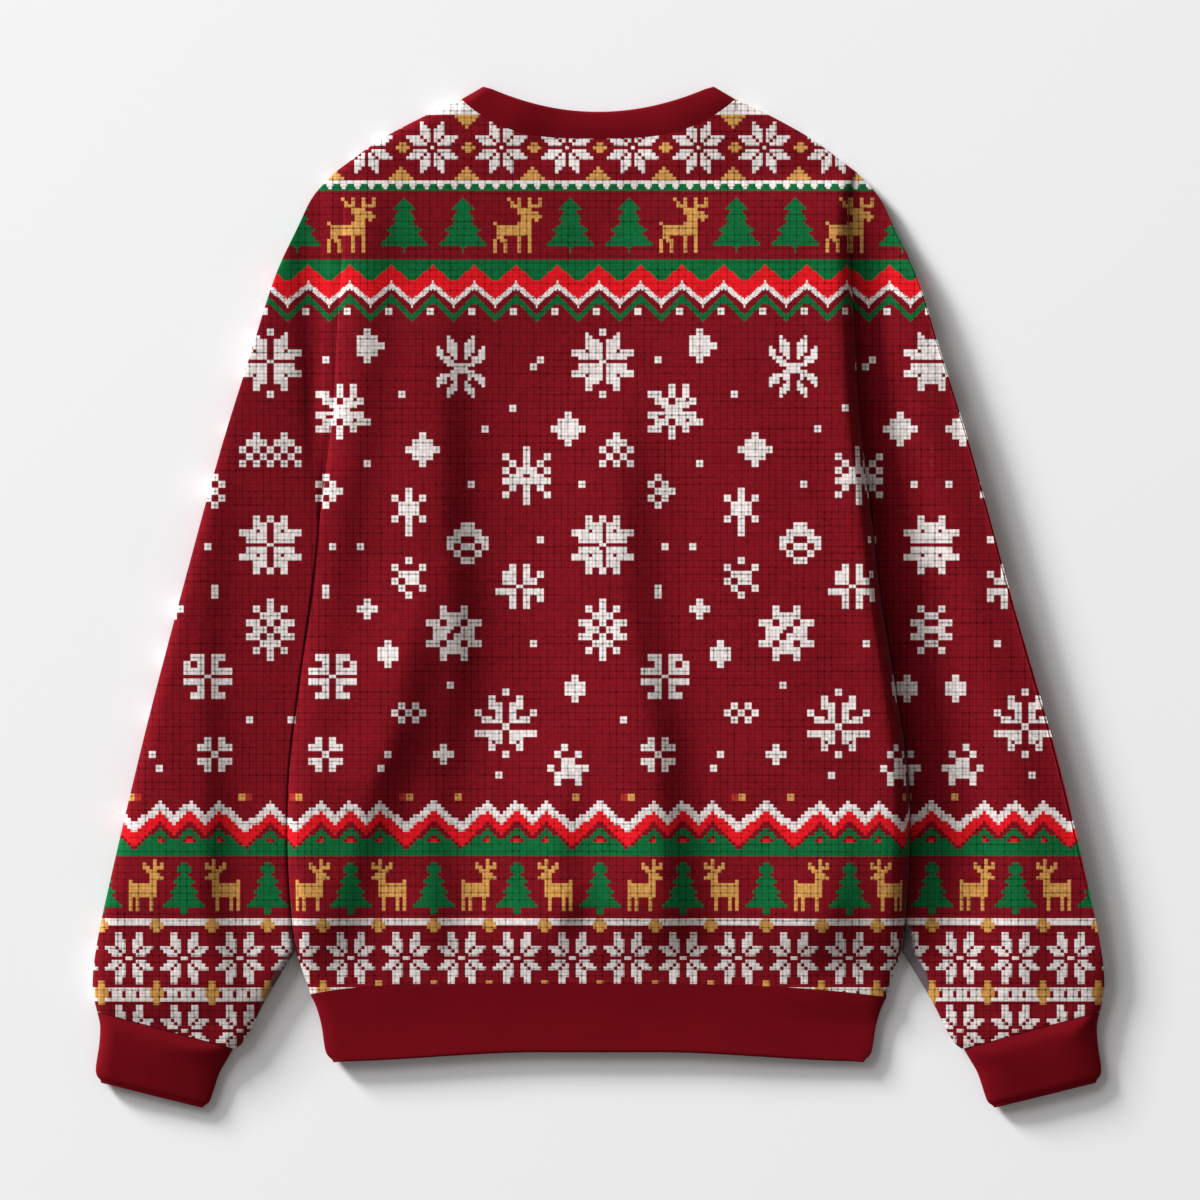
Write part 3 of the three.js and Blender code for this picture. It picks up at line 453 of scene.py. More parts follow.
def body_panel(name, neck, height, face, below_neck, outwards, up):
    """The back (face 1) or the front (face -1) with its edges turned towards the other."""
    x, y, side_rise, top_rise, on_side = panel_places(neck, below_neck, outwards, up)
    share = np.minimum(1, np.abs(x) / NECK_HALF)
    neck_open = np.where(share < 1, neck_fold_rise(share), 0)
    arm_open = np.where(on_side, armhole_rise(y), 0)
    if face > 0:
        side_z = mix(side_roll("edge", x, y), for_side(ARMHOLE_TOP, x), armhole_rise(y))
        top_z = np.where(share < 1, neck_top(share), shoulder_edge(np.abs(x)))
    else:
        side_z = (side_roll("edge", x, y) - SEAM_GAP) * (1 - armhole_rise(y))
        top_z = np.where(share < 1, NECK_FOLD_HEIGHT * (1 - neck_fold_rise(share)),
                         shoulder_edge(np.abs(x)) - SEAM_GAP)
    middle = height(x, y)

    def level(at_side, at_top, inside):
        return mix(at_side, mix(at_top, inside, top_rise), side_rise)

    wall = -face * FLEECE
    side_in = FLEECE * lean(side_rise) * lean(arm_open)
    top_in = FLEECE * lean(top_rise) * lean(neck_open)
    outer = np.stack([x, y, level(side_z, top_z, middle)], -1)
    inner = np.stack([x - np.sign(x) * side_in, y - top_in,
                      level(side_z + wall * arm_open, top_z + wall * neck_open, middle + wall)], -1)
    return panel_mesh(name, outer, inner, print_spots(outer, on_side, face))


def print_spots(outer, on_side, face):
    """Where a panel's points lie on its print: their plan place, let out where the cloth rounds over."""
    x, y, z = (outer[..., i] for i in range(3))
    spots = x.copy()
    middle = x.shape[1] // 2
    plan, rise = np.abs(np.diff(x, axis=1)), np.diff(z, axis=1)
    extra = np.where(on_side[1:] & on_side[:-1], np.hypot(plan, rise) - plan, 0)
    spots[:, middle + 1:] += np.cumsum(extra[:, middle:], axis=1)
    spots[:, :middle] -= np.cumsum(extra[:, :middle][:, ::-1], axis=1)[:, ::-1]
    return np.stack([face * (spots + askew(y)), y], -1)


# ---------------------------------------------------------------- flattened tubes


def tube_stations(on_top, beneath):
    """Stations round a flattened tube: from the outer edge to the inner one on top, then back beneath."""
    def spread(count):
        return (1 - np.cos(math.pi * np.arange(count) / count)) / 2
    return np.concatenate([spread(on_top), 1 - spread(beneath)]), np.arange(on_top + beneath) < on_top


# Heights of a tube at its crown, beside the body and at its two edges, and how far the edges round over.
TUBE_SHAPE = ("crown", "beside", "outer_edge", "inner_edge", "outer_reach", "inner_reach")


def tube_points(sections, stations, wall, extra=None):
    """Points of a flattened tube, drawn in by a wall."""
    (q, on_top), (outer, inner) = stations, (sections["outer"], sections["inner"])
    q, on_top = q[:, None], on_top[:, None]
    length = np.hypot(*(inner - outer).T)
    drawn = mix(wall / length, 1 - wall / length, q)
    from_outer, from_inner = q * length, (1 - q) * length
    floor_rise = round_over(from_outer, FLOOR_REACH) * round_over(from_inner, FLOOR_REACH)
    top_rise = (round_over(from_outer, sections["outer_reach"])
                * round_over(from_inner, sections["inner_reach"]))
    x, y = (mix(outer[:, i], inner[:, i], drawn) for i in range(2))
    risen = smooth((1 - q) / sections["rise"]) ** sections["lag"]
    height = mix(sections["beside"], sections["crown"], risen)
    height = height - sections["fall"] * (1 - q)
    if extra is not None:
        height = height + extra(x, y)
    edge = mix(sections["outer_edge"], sections["inner_edge"], q)
    z = np.where(on_top, mix(edge, height - wall, top_rise), mix(edge, wall, floor_rise))
    return np.stack([x, y, z], -1)


def tube_spots(walls, on_top, side):
    """Where a tube's points lie on the print. The under half is turned over at the outer edge, and the
    print is let out where the cloth turns steeply down."""
    x, y, z = (walls[..., i] for i in range(3))
    across, along, rise = (np.abs(np.roll(part, -1, 0) - part) for part in (x, y, z))
    plan = np.hypot(across, along) + TINY
    let_out = np.maximum(0, rise - plan) * across / plan
    first_beneath = int(np.argmin(on_top))
    middle = first_beneath // 2
    to_outer = np.cumsum(let_out[:middle][::-1], axis=0)[::-1]
    to_inner = np.cumsum(let_out[middle:first_beneath], axis=0)
    beneath = np.cumsum(let_out[first_beneath:][::-1], axis=0)[::-1]
    top = x[:first_beneath].copy()
    top[:middle] += to_outer
    top[middle + 1:] -= to_inner[:-1]
    spots = np.concatenate([top, 2 * x[0] - x[first_beneath:] + to_outer[0] + beneath])
    wrapped = spots.copy()
    wrapped[first_beneath] = x[first_beneath] - to_inner[-1]
    return (np.stack([part + side * askew(y), y], -1) * (side, 1) for part in (spots, wrapped))


# ---------------------------------------------------------------- sleeves

sleeve_outer_x, = curves_of(SLEEVE_OUTER)
sleeve_inner_x, = curves_of(SLEEVE_INNER)


def inner_edge_x(y):
    return np.where(y > SLEEVE_INNER[0][0], side_half(y) + SLEEVE_CLEARANCE, sleeve_inner_x(y))


def sleeve_sections(side):
    last = len(SLEEVE_SECTIONS[side]) - 1
    steps = np.linspace(0, last, last * ROWS_BETWEEN_SLEEVE_SECTIONS + 1)
    outer_y, inner_y, *shape = between_rows(SLEEVE_SECTIONS[side], steps)
    return {
        "outer": np.stack([sleeve_outer_x(outer_y), outer_y], -1),
        "inner": np.stack([inner_edge_x(inner_y), inner_y], -1),
        "rise": SLEEVE_RISE[side], "lag": SLEEVE_LAG[side],
        "fall": SLEEVE_FALL[side] * smooth(steps / FALL_STARTS) * smooth((last - steps) / FALL_ENDS),
        **dict(zip(TUBE_SHAPE, shape)),
    }


def sleeve(name, side):
    sections = sleeve_sections(side)
    stations = tube_stations(*SLEEVE_STATIONS)

    def creases(x, y):
        return sum(fold_height(fold, side * x, y) for fold in SLEEVE_FOLDS[side])

    def wall(depth):
        points = tube_points(sections, stations, depth, creases)
        points[:, 0, 0] = side_half(points[:, 0, 1]) + SEAM_GAP
        return points

    walls = np.concatenate([wall(0), wall(FLEECE)[:, ::-1]], axis=1)
    spots, wrapped = tube_spots(walls, stations[1], side)
    bare = bare_and_shaded_strip(walls, side)
    walls[..., 0] *= side
    piece = ring_mesh(name, walls, spots, wrapped)
    # The bare attribute marks the unprinted strip that the material paints dark grey as shade.
    piece.data.attributes.new("bare", "FLOAT", "POINT").data.foreach_set("value", bare.ravel())
    return piece


def bare_and_shaded_strip(walls, side):
    """How bare each point of a sleeve is, and how much painted shade it takes: 1 along its inner edge where
    the print stops short.
    """
    start, end, width, plain = BARE_AND_SHADED_STRIP[side]
    x, y = walls[..., 0], walls[..., 1]
    share = np.clip((start - y) / (start - end), 0, 1)
    wide = width * np.sin(math.pi * share) ** BARE_AND_SHADED_TAPER
    inside = inner_edge_x(y) + wide - x
    return plain * smooth(inside / BARE_AND_SHADED_EDGE) * (share > 0) * (share < 1)


# ---------------------------------------------------------------- bands


def close_bands(outer, inner, wall):
    """Closes each band section round its free edge: outer face, rounded tip, then back to the seam."""
    a, b, before = outer[:, -1], inner[:, -1], outer[:, -2]
    across, ahead = (a - b) / 2, a - before
    ahead = ahead - across * ((ahead * across).sum(-1) / (across ** 2).sum(-1))[:, None]
    ahead *= wall / 2 / np.linalg.norm(ahead, axis=-1)[:, None]
    turns = np.linspace(0, math.pi, FREE_TURN_POINTS)[1:-1]
    tip = ((a + b) / 2)[:, None] + across[:, None] * np.cos(turns)[None, :, None]
    tip = tip + ahead[:, None] * np.sin(turns)[None, :, None]
    return np.concatenate([outer, tip, inner[:, ::-1]], axis=1)


def band_mesh(name, walls):
    spots = walls[..., :2].copy()
    return ring_mesh(name, walls, spots, spots)


def cuff(name, side):
    steps = np.linspace(0, len(CUFF_SECTIONS) - 1, CUFF_ROWS)
    outer_x, outer_y, inner_x, inner_y, crown = between_rows(CUFF_SECTIONS, steps)
    reaches = (mix(CUFF_SEAM_REACH, reach, smooth(steps / CUFF_EASE)) for reach in CUFF_REACH[side])
    sections = {
        "outer": np.stack([outer_x, outer_y], -1), "inner": np.stack([inner_x, inner_y], -1),
        "rise": 1, "lag": 1, "fall": 0,
        **dict(zip(TUBE_SHAPE, (crown, crown, CUFF_EDGE, CUFF_EDGE, *reaches))),
    }
    stations = tube_stations(*CUFF_STATIONS)
    walls = close_bands(*(tube_points(sections, stations, depth) for depth in (0, HEM_RIB)), HEM_RIB)
    walls[..., 0] *= side
    return band_mesh(name, walls)


def hem_band(name):
    across = np.concatenate([np.linspace(0, 1, HEM_COLUMNS), np.ones(SIDE_TURN_POINTS - 1)])
    rise = np.concatenate([np.ones(HEM_COLUMNS - 1), quarter_turn(SIDE_TURN_POINTS)])
    across, rise = np.concatenate([across[::-1], -across[1:]]), np.concatenate([rise[::-1], rise[1:]])
    on_top = (np.arange(2 * len(across) - 2) < len(across))[:, None]
    across, rise = (np.concatenate([top, top[-2:0:-1]])[:, None] for top in (across, rise))
    down = np.linspace(0, 1, HEM_ROWS)[None]
    half, rise_share = (along(down) for along in curves_of(HEM_SECTIONS))

    def wall(depth):
        x = across * (half - HEM_REACH + (HEM_REACH - depth) * lean(rise))
        share = np.abs(x) / HEM_HALF
        free_y = HEM_FREE_Y - HEM_FREE_DROP * smooth((share - HEM_FREE_START) / HEM_FREE_SPAN)
        y = mix(hem_seam_y(x), free_y + HEM_RIB / 2, down)
        top = mix(HEM_SEAM_TOP, HEM_TOP, rise_share) - depth - hem_fall(x, down)
        z = mix(HEM_EDGE, np.where(on_top, top, depth), rise)
        return np.stack([x, y, z], -1)

    return band_mesh(name, close_bands(wall(0), wall(HEM_RIB), HEM_RIB))


def neck_sections(side, shares, neck, top):
    """Sections of the neckband at shares of its half length, on the back or the front layer."""
    seam = np.stack([NECK_HALF * shares, neck_seam_y(NECK_HALF * shares, neck)], -1)
    free = np.stack([PEAK_HALF * shares, PEAK_Y - neck["free_drop"] * (1 - shares ** neck["free_power"])], -1)
    ahead = free - seam
    ahead /= np.linalg.norm(ahead, axis=-1)[:, None]
    seam, free = seam + ahead * SEAM_GAP, free - ahead * NECK_RIB / 2
    rise = neck_fold_rise(shares)
    up_fold = np.array([PEAK_HALF - NECK_HALF, PEAK_Y - NECK_Y])
    up_fold /= np.linalg.norm(up_fold)
    outward = np.array([up_fold[1], -up_fold[0]])
    z = neck_top(shares) if top else NECK_FOLD_HEIGHT * (1 - rise)
    t = np.linspace(0, 1, NECKBAND_ROWS)[None, :, None]
    plan = seam[:, None] + (free - seam)[:, None] * t
    bulge = NECK_BULGE * np.sin(math.pi * t) * rise[:, None, None] * (1 if top else 0)
    levels = z[:, None, None] + bulge
    outer = np.concatenate([plan, levels], -1)
    sunk = plan - outward * (NECK_RIB * lean(rise))[:, None, None]
    inner = np.concatenate([sunk, levels + (-1 if top else 1) * (NECK_RIB * rise)[:, None, None]], -1)
    sections = close_bands(outer, inner, NECK_RIB)
    sections[..., 0] *= side
    return sections


def neckband(name):
    shares = neck_shares(NECKBAND_STATIONS)
    back = {side: neck_sections(side, shares, BACK_NECK, True) for side in (1, -1)}
    front = {side: neck_sections(side, shares, FRONT_NECK, False) for side in (1, -1)}
    return band_mesh(name, np.concatenate(
        [back[1][::-1], back[-1][1:], front[-1][:-1][::-1], front[1][1:-1]]))


# ---------------------------------------------------------------- the print

# The print is drawn on square cells. A chart is one repeat of a band: its first column and top row are
# placed in metres from the middle of the garment, and it repeats across after its number of columns.
# A shape is written row by row, with an X for each cell it fills.
CELL = 0.00256
FIELD_LEFT, FIELD_TOP = -0.26571, 0.2062
LOWER_LEFT, LOWER_PEAKS_TOP = -0.01933, -0.1454  # the bands under the field share their first column
# On the sleeves some bands run backwards: first turning line, and the distance to the second.
SLEEVE_TURNS = (-0.24267, 0.48897)

FLAKE_POINT = "..X.... .XX.... XXX.... XXX.... XX.XXXX X.XXXX. .XXXX..".split()
BROAD_POINT = ".XX... .XX... XXX... XXX... XX.XXX X.XXX. .XXX..".split()
PYRAMID = "...X... ..XXX.. .XXXXX. XXXXXXX".split()
LOZENGE = ".XX. .XX. XXXX XXXX XXXX .XX. .XX.".split()

# Snowflakes scattered over the field: where each one stands in the repeat, as first column and top row in
# cells, and its shape. A row is two cells high, or one cell where it starts with a dash.
FLAKES = {
    "great star": (
        ((0, 3),),
        "....X.... ..X...X.. ..XX.XX.. XXXX.XXXX -.XXX.XXX. -....X.... .XXX.XXX. XXXX.XXXX ..XX.XX.. "
        "..X...X.. ....X...."),
    "low star": (
        ((0, 57),),
        "..X.X.X.. ..XX.XX.. XXXX.XXXX .XXX.XXX. -....X.... .XXX.XXX. XXXX.XXXX ..XX.XX.. ..X.X.X.."),
    "round flake": (((34, 3),), ".X.. XXX. XXXX XXX. .X.."),
    "slanted flake": (
        ((22, 19),), "...X.X.. XX.X.X.. .XX.XXX. ..XXXX.. XXXXXXX. .XX.X.XX XX.X.X.. ...X...."),
    "diamond": (((90, 27), (48, 33)), "..X.. .XXX. XXXXX .XXX. ..X.."),
    "crown": (((8, 33),), "..X.. .XXX. X.X.X .X.X. X.X.X"),
    "branches": (((76, 37),), "...X... X..X..X .X.X.X. X.XXX.X -.XX.XX. XXXXXXX .X.X.X. X..X..X ...X..."),
    "arrow ring": (((22, 45),), ".X.. X.X. .XXX X.X. .X.."),
    "six arms": (((44, 49),), "..X.. X.X.X .XXX. .XXX. X.X.X ..X.. ..X.."),
    "ring": (((60, 59),), "..XX.. .XXXX. XX..XX X.XX.X .X..X. ..XX.."),
    "small flake": (((44, 69),), "..X.. X...X .XXX. X.XX. .X..X ..X.."),
    "leaning flake": (((89, 123),), "..X... .X..X. ..XX.. X.XXXX .XXXX. .X..X."),
    "hash": (((74, 71),), "..X.X.. .XX.X.X .XX.XX. -...X... XXX.XXX ..X.X.X ..X.X.."),
    "bar": (((24, 77),), "X X"),
    "cross": (((34, 81), (56, 123)), ".X. XXX .X."),
    "diamond flake": (
        ((2, 81),), "...X... .X.X.X. ..XXX.. XX.X.XX .XX.XX. XX.X.XX ..XXX.. .X.X.X. ...X..."),
    "chunky star": (
        ((54, 83),), "..X..X.. ..XXXX.. XX.XX.XX .XXX.XX. .XX.XXX. XX.XX.XX ..XXXX.. ..X..X.."),
    "tall cross": (((40, 93), (94, 103)), ".X. XXX XXX .X."),
    "four blocks": (((20, 97),), ".XX.XX. ..X.X.X XXX.XXX -...X... XXX.XXX ..X.X.. .XX.XX."),
    "oval": (((44, 111),), ".X.X. X.X.X .X.X."),
    "open star": (
        ((68, 107),),
        "....X.... ..X...X.. ..XX.XX.. X..X.X..X .XXX.XXX. ....X.... XXXX.XXXX ..XX.XX.. ..X...X.. "
        "....X...."),
    "little blocks": (((20, 121),), ".X.X. XX.XX ..X.. XX.XX .X.X."),
    "dot": (
        ((24, 11), (86, 11), (84, 13), (46, 21), (78, 25), (70, 31), (36, 41), (66, 47), (2, 47),
         (26, 65), (34, 65), (86, 63), (84, 93), (60, 105), (14, 115), (42, 125), (40, 129),
         (74, 131)),
        "X"),
}

# Cells filled and left bare in some of them: first column and top row, then cells wide and high where
# there is more than one.
FLAKE_TOUCHES = {
    "great star": (((8, 4, 1, 5), (8, 10, 1, 5), (6, 3, 2, 1), (10, 3, 2, 1), (4, 1), (13, 1)),
                   ((4, 6), (13, 6), (4, 13), (13, 13))),
    "low star": (((8, 2, 1, 6), (8, 10, 1, 6)),
                 ((5, 4), (12, 4), (5, 11), (12, 11))),
    "slanted flake": (((10, 10, 2, 2),),
                      ((11, 4), (4, 7), (10, 7, 2, 1), (3, 9, 2, 1), (11, 10))),
    "open star": ((), ((5, 8), (12, 8), (5, 15), (12, 15))),
    "chunky star": ((), ((4, 5), (11, 5), (7, 7), (4, 10), (11, 10))),
}

# A flake of eight open petals, on single cells.
PETALS = """
    ...X......X.... ...XX....XX.... ...XXX..XXX.... X..XXX..XXX..X. XX.XXX..XXX.XX. XX..XX..XX..XX.
    .XXX.X..X.XXXX. ..XXX.....XXX.. ...XXXXXXXX.... .....XXXX...... ....XXXXXXX.... .XXXXX...XXXX..
    XXX.XX...X.XXX. XXX..X..X...XX. X...XX..XX...X. ...XXX..XXX.... ...XX....XX.... ...X......X....
""".split()

TALL_DEER = """
    ....X..X..X..X. .....X.X..X..X. .....XXX..XXXX. .......XXXX.... .......XXXXXX.. ........XXXXXX.
    ........XXX.X.. X......XXXX.... .XXXXXXXXXX.... .XXXXXXXXXX.... .XXXXXXXXXX.... .XX....X..X....
    X.XX...X..X.... X..X...X..X.... X..X...X..X.... X..X...X..X....
""".split()
SMALL_DEER = """
    .......X.. ....X..X.X ....XX.XXX .....XXX.. ......XXX. ......XXXX X.....XX.. XXXXXXXX.. XXXXXXXX..
    XXXXXXXX.. XXXXXXXX.. X.X...X... X.X...X... X.X...X... X.X...X...
""".split()

# Half widths of the two trees, row by row from the tip.
TALL_TREE = (0, 1, 2, 3, 4, 5, 6, 3, 3, 4, 5, 5, 6, 4, 5, 5, 7, 8, 10, 9, 7, 8, 9, 10, 10, 12, 13, 13,
             1, 0, 0, 0)
SMALL_TREE = (1, 2, 2, 1, 2, 3, 2, 3, 4, 3, 4, 5, 6, 1, 1)

# Levels of the upper peaks by distance from their middle, in rows: where the bright red starts, the white
# line and its end, the thin green line and its end.
UPPER_PEAKS = (
    ((0, 9.5), (2.6, 11.9)), ((0, 1, 12), (11.9, 14.02, 23)), ((0, 11, 12), (16.8, 25.69, 27.8)),
    ((0, 12), (20.4, 31.8)), ((0, 2, 12), (25.6, 26.4, 36.3)),
)

# Levels of the lower peaks by column: the white line, the end of the bright red, the green.
LOWER_PEAKS = ((0, 8.5, 15.8, 16), (8, 2, 7.8, 10), (15.8, 8.5, 15.8, 16), (23.4, 2, 7.8, 10),
               (27.6, 6, 12, 13.5), (31.9, 2, 7.8, 10), (36.6, 6, 12, 13.5), (40.4, 2, 7.8, 10),
               (48, 8.5, 15.8, 16))
LOWER_LINE = 2.8  # rows of the white line
# Small bright red marks inside the green peaks: middle column, half width.
PEAK_MARKS, PEAK_MARK_ROW = ((8, 2), (23, 1), (32, 2), (40, 1)), 13


class Chart:
    """One repeat of a band of the print. A turned chart runs backwards past the two turning lines."""

    def __init__(self, left, top, columns, rows, cell=CELL, turns=None):
        self.left, self.top, self.cell, self.turns = left, top, cell, turns
        self.columns, self.rows = columns, rows
        self.marks = {}

    def fill(self, colour, column, row, wide=1, high=1, filled=True):
        plane = self.marks.setdefault(colour, np.zeros((self.rows, self.columns), bool))
        columns = [c % self.columns for c in range(int(column), int(column + wide))]
        plane[max(0, int(row)):int(row + high), columns] = filled

    def bare(self, colour, column, row, wide=1, high=1):
        """Takes a colour away again."""
        self.fill(colour, column, row, wide, high, False)

    def upright(self, colour, column, start, end):
        """Fills one column from a row down to another."""
        self.fill(colour, column, start, 1, end - start)

    def stamp(self, colour, shape, column, row, size=1, mirror=False):
        for line in shape:
            high = 1 if line.startswith("-") else size
            line = line.lstrip("-")
            for i, mark in enumerate(line[::-1] if mirror else line):
                if mark == "X":
                    self.fill(colour, column + i * size, row, size, high)
            row += high

    def star(self, colour, quarter, middle_column, middle_row, gap=1):
        """Four quarters of a star about a cross of bare cells, gap columns wide and one row high."""
        high, wide = len(quarter), len(quarter[0])
        for shape, row in ((quarter, middle_row - high), (quarter[::-1], middle_row + 1)):
            self.stamp(colour, shape, middle_column + gap, row)
            self.stamp(colour, shape, middle_column - wide, row, mirror=True)

    def tree(self, middle, top, half_widths, centre=1):
        """A tree of level bars about its middle column, or about the edge before it where centre is 0."""
        for row, half in enumerate(half_widths):
            self.fill("green", middle - half, top + row, 2 * half + centre)


def yoke_chart():
    """Stars, crosses and pyramids across the shoulders."""
    chart = Chart(left=-0.16785, top=0.37995, columns=96, rows=28)
    chart.fill("white", 0, 0, 96, 9)
    for middle in (17, 37, 56, 75, 94):
        chart.star("white", FLAKE_POINT, middle, 18)
        chart.fill("white", middle, 18)
    for middle in (27, 46, 65, 84, 104):
        chart.stamp("gold", (".XX.", "XXXX", ".XX."), middle - 1, 17)
        chart.stamp("gold", PYRAMID, middle - 3, 24)
        chart.stamp("gold", PYRAMID[::-1], middle - 3, 9)
        chart.fill("gold", middle - 2, 0, 5, 5)
    return chart


def tooth_chart():
    """White teeth over a green line, under the yoke."""
    chart = Chart(left=-0.01696, top=0.3083, columns=8, rows=6, cell=CELL / 2)
    chart.fill("green", 0, 2, 8, 4)
    chart.fill("white", 0, 0, 8, 2)
    chart.fill("white", 0, 2, 4, 2)
    chart.fill("white", 1, 4, 2, 1)
    return chart


def forest_chart():
    """A deer and two tall trees."""
    chart = Chart(left=0.0463, top=0.29556, columns=96, rows=36, cell=CELL / 2)
    chart.stamp("gold", TALL_DEER, -1, 0, 2)
    for middle in (43, 77):
        chart.tree(middle, 0, TALL_TREE)
    return chart


def peaks_chart():
    """Green and bright red peaks with a white zigzag and a thin green one under them."""
    chart = Chart(left=-0.01563, top=0.24963, columns=24, rows=37, cell=CELL / 2)
    for column in range(chart.columns):
        distance = abs(column - chart.columns // 2)
        bright, white, white_end, line, line_end = (round(np.interp(distance, *levels))
                                                    for levels in UPPER_PEAKS)
        chart.upright("green", column, 0, bright)
        chart.upright("bright", column, bright, white)
        chart.upright("white", column, white, white_end)
        chart.upright("green", column, line, line_end)
    chart.fill("white", 9, 28, 4, 4)
    return chart


def field_chart():
    """Snowflakes scattered over the field."""
    chart = Chart(FIELD_LEFT, FIELD_TOP, columns=96, rows=139, turns=SLEEVE_TURNS)
    for name, (places, shape) in FLAKES.items():
        filled, left_bare = FLAKE_TOUCHES.get(name, ((), ()))
        for column, row in places:
            chart.stamp("white", shape.split(), column, row, 2)
            for right, down, *size in filled:
                chart.fill("white", column + right, row + down, *size)
            for right, down, *size in left_bare:
                chart.bare("white", column + right, row + down, *size)
    chart.stamp("white", PETALS, 57, 5)
    return chart


def lower_peaks_chart():
    """A white line over uneven peaks, bright red, and green under it."""
    chart = Chart(LOWER_LEFT, LOWER_PEAKS_TOP, columns=48, rows=18, turns=SLEEVE_TURNS)
    at, *levels = zip(*LOWER_PEAKS)
    for column in range(chart.columns):
        line, bright_end, green = (np.interp(column + 0.5, at, level) for level in levels)
        line_end = round(line + LOWER_LINE)
        chart.upright("white", column, round(line), line_end)
        chart.upright("bright", column, line_end, round(bright_end))
        chart.upright("green", column, round(green), chart.rows)
    for middle, half in PEAK_MARKS:
        chart.bare("green", middle - half, PEAK_MARK_ROW, 2 * half)
        chart.bare("green", middle - half // 2, PEAK_MARK_ROW - 1, half)
        chart.fill("bright", middle - half + 1, PEAK_MARK_ROW, max(1, 2 * half - 2))
    return chart


def marks_chart():
    """Small gold marks over the lower peaks, most of them beside a dull red one."""
    chart = Chart(LOWER_LEFT, LOWER_PEAKS_TOP, columns=96, rows=2, turns=SLEEVE_TURNS)
    for colour, columns in (("gold", (0, 16, 48, 62)), ("dull", (14, 46))):
        for column in columns:
            chart.fill(colour, column, 0, 2, 2)
    return chart


def lower_forest_chart():
    """Small trees with a deer facing each second one from both sides."""
    chart = Chart(LOWER_LEFT, top=-0.19363, columns=48, rows=17)
    for middle in (8, 32):
        chart.tree(middle, 1, SMALL_TREE, centre=0)
    chart.stamp("gold", SMALL_DEER, 16, 0)
    chart.stamp("gold", SMALL_DEER, 38, 0, mirror=True)
    return chart


def hem_chart():
    """A white line with gold beads, stars, and the ladder and second stars that turn under the hem."""
    chart = Chart(LOWER_LEFT, top=-0.23756, columns=16, rows=41)
    chart.fill("white", 0, 0, 16, 2)
    chart.stamp("gold", (".XX.", "XXXX", "XXXX", ".XX."), 6, 0)
    for middle_row in (11, 32):
        chart.star("white", BROAD_POINT, -1, middle_row, gap=2)
        chart.fill("white", -1, middle_row, 2)
    chart.fill("white", 0, 20, 16, 4)
    for column in range(2, 16, 4):
        chart.bare("white", column, 21, 1, 2)
    chart.stamp("gold", LOZENGE, 6, 18)
    return chart


# ---------------------------------------------------------------- shader wiring

RAMP_ROWS, RAMP_STEPS = 30, 32.0  # rows of a chart held by one ramp, and the steps it is divided into
BITS = 16  # cells held by one number of a ramp's colour


class Wiring:
    """Adds nodes to a tree. A value may be a number, a vector or another node's output."""

    def __init__(self, tree):
        self.tree = tree

    def node(self, kind, inputs=None, **settings):
        made = self.tree.nodes.new(kind)
        for name, value in settings.items():
            setattr(made, name, value)
        for name, value in (inputs or {}).items():
            self.feed(made.inputs[name], value)
        return made

    def feed(self, socket, value):
        if isinstance(value, bpy.types.NodeSocket):
            self.tree.links.new(value, socket)
        else:
            socket.default_value = value

    def math(self, operation, *values):
        return self.node("ShaderNodeMath", dict(enumerate(values)), operation=operation).outputs[0]

    def mix(self, share, a, b, blend="MIX"):
        return self.node("ShaderNodeMix", {0: share, 6: a, 7: b}, data_type="RGBA",
                         blend_type=blend).outputs[2]

    def vector(self, x, y, z=0.0):
        return self.node("ShaderNodeCombineXYZ", {0: x, 1: y, 2: z}).outputs[0]

    def across_and_up(self, cloth):
        """The two coordinates of a place on the cloth."""
        return self.node("ShaderNodeSeparateXYZ", {0: cloth}).outputs[:2]

    def noise(self, vector, scale, detail=2.0, roughness=0.5):
        made = self.node("ShaderNodeTexNoise", {"Scale": scale, "Detail": detail, "Roughness": roughness,
                                                "Vector": vector})
        return made.outputs["Fac"]

    def fit(self, value, low, high, to_low=0.0, to_high=1.0):
        made = self.node("ShaderNodeMapRange", {0: value, 1: low, 2: high, 3: to_low, 4: to_high})
        return made.outputs[0]

    def add_uneven(self, base, value, amount):
        """Adds a share of a value that varies about one half."""
        return self.math("MULTIPLY_ADD", self.math("SUBTRACT", value, 0.5), amount, base)

    def toned(self, colour, brightness):
        """A colour made lighter or darker by a brightness."""
        grey = self.node("ShaderNodeCombineColor", dict.fromkeys(("Red", "Green", "Blue"), brightness))
        return self.mix(1.0, colour, grey.outputs[0], "MULTIPLY")


def shader_group(name, inputs, outputs):
    """An empty node group with its named sockets: returns the wiring, the inputs and the output node."""
    kinds = {"value": "NodeSocketFloat", "vector": "NodeSocketVector", "colour": "NodeSocketColor"}
    tree = bpy.data.node_groups.new(name, "ShaderNodeTree")
    for in_out, sockets in (("INPUT", inputs), ("OUTPUT", outputs)):
        for socket_name, kind in sockets:
            tree.interface.new_socket(socket_name, in_out=in_out, socket_type=kinds[kind])
    wiring = Wiring(tree)
    return wiring, wiring.node("NodeGroupInput").outputs, wiring.node("NodeGroupOutput").inputs


def use_group(wiring, tree, **values):
    made = wiring.node("ShaderNodeGroup", node_tree=tree)
    for name, value in values.items():
        wiring.feed(made.inputs[name.replace("_", " ")], value)
    return made.outputs


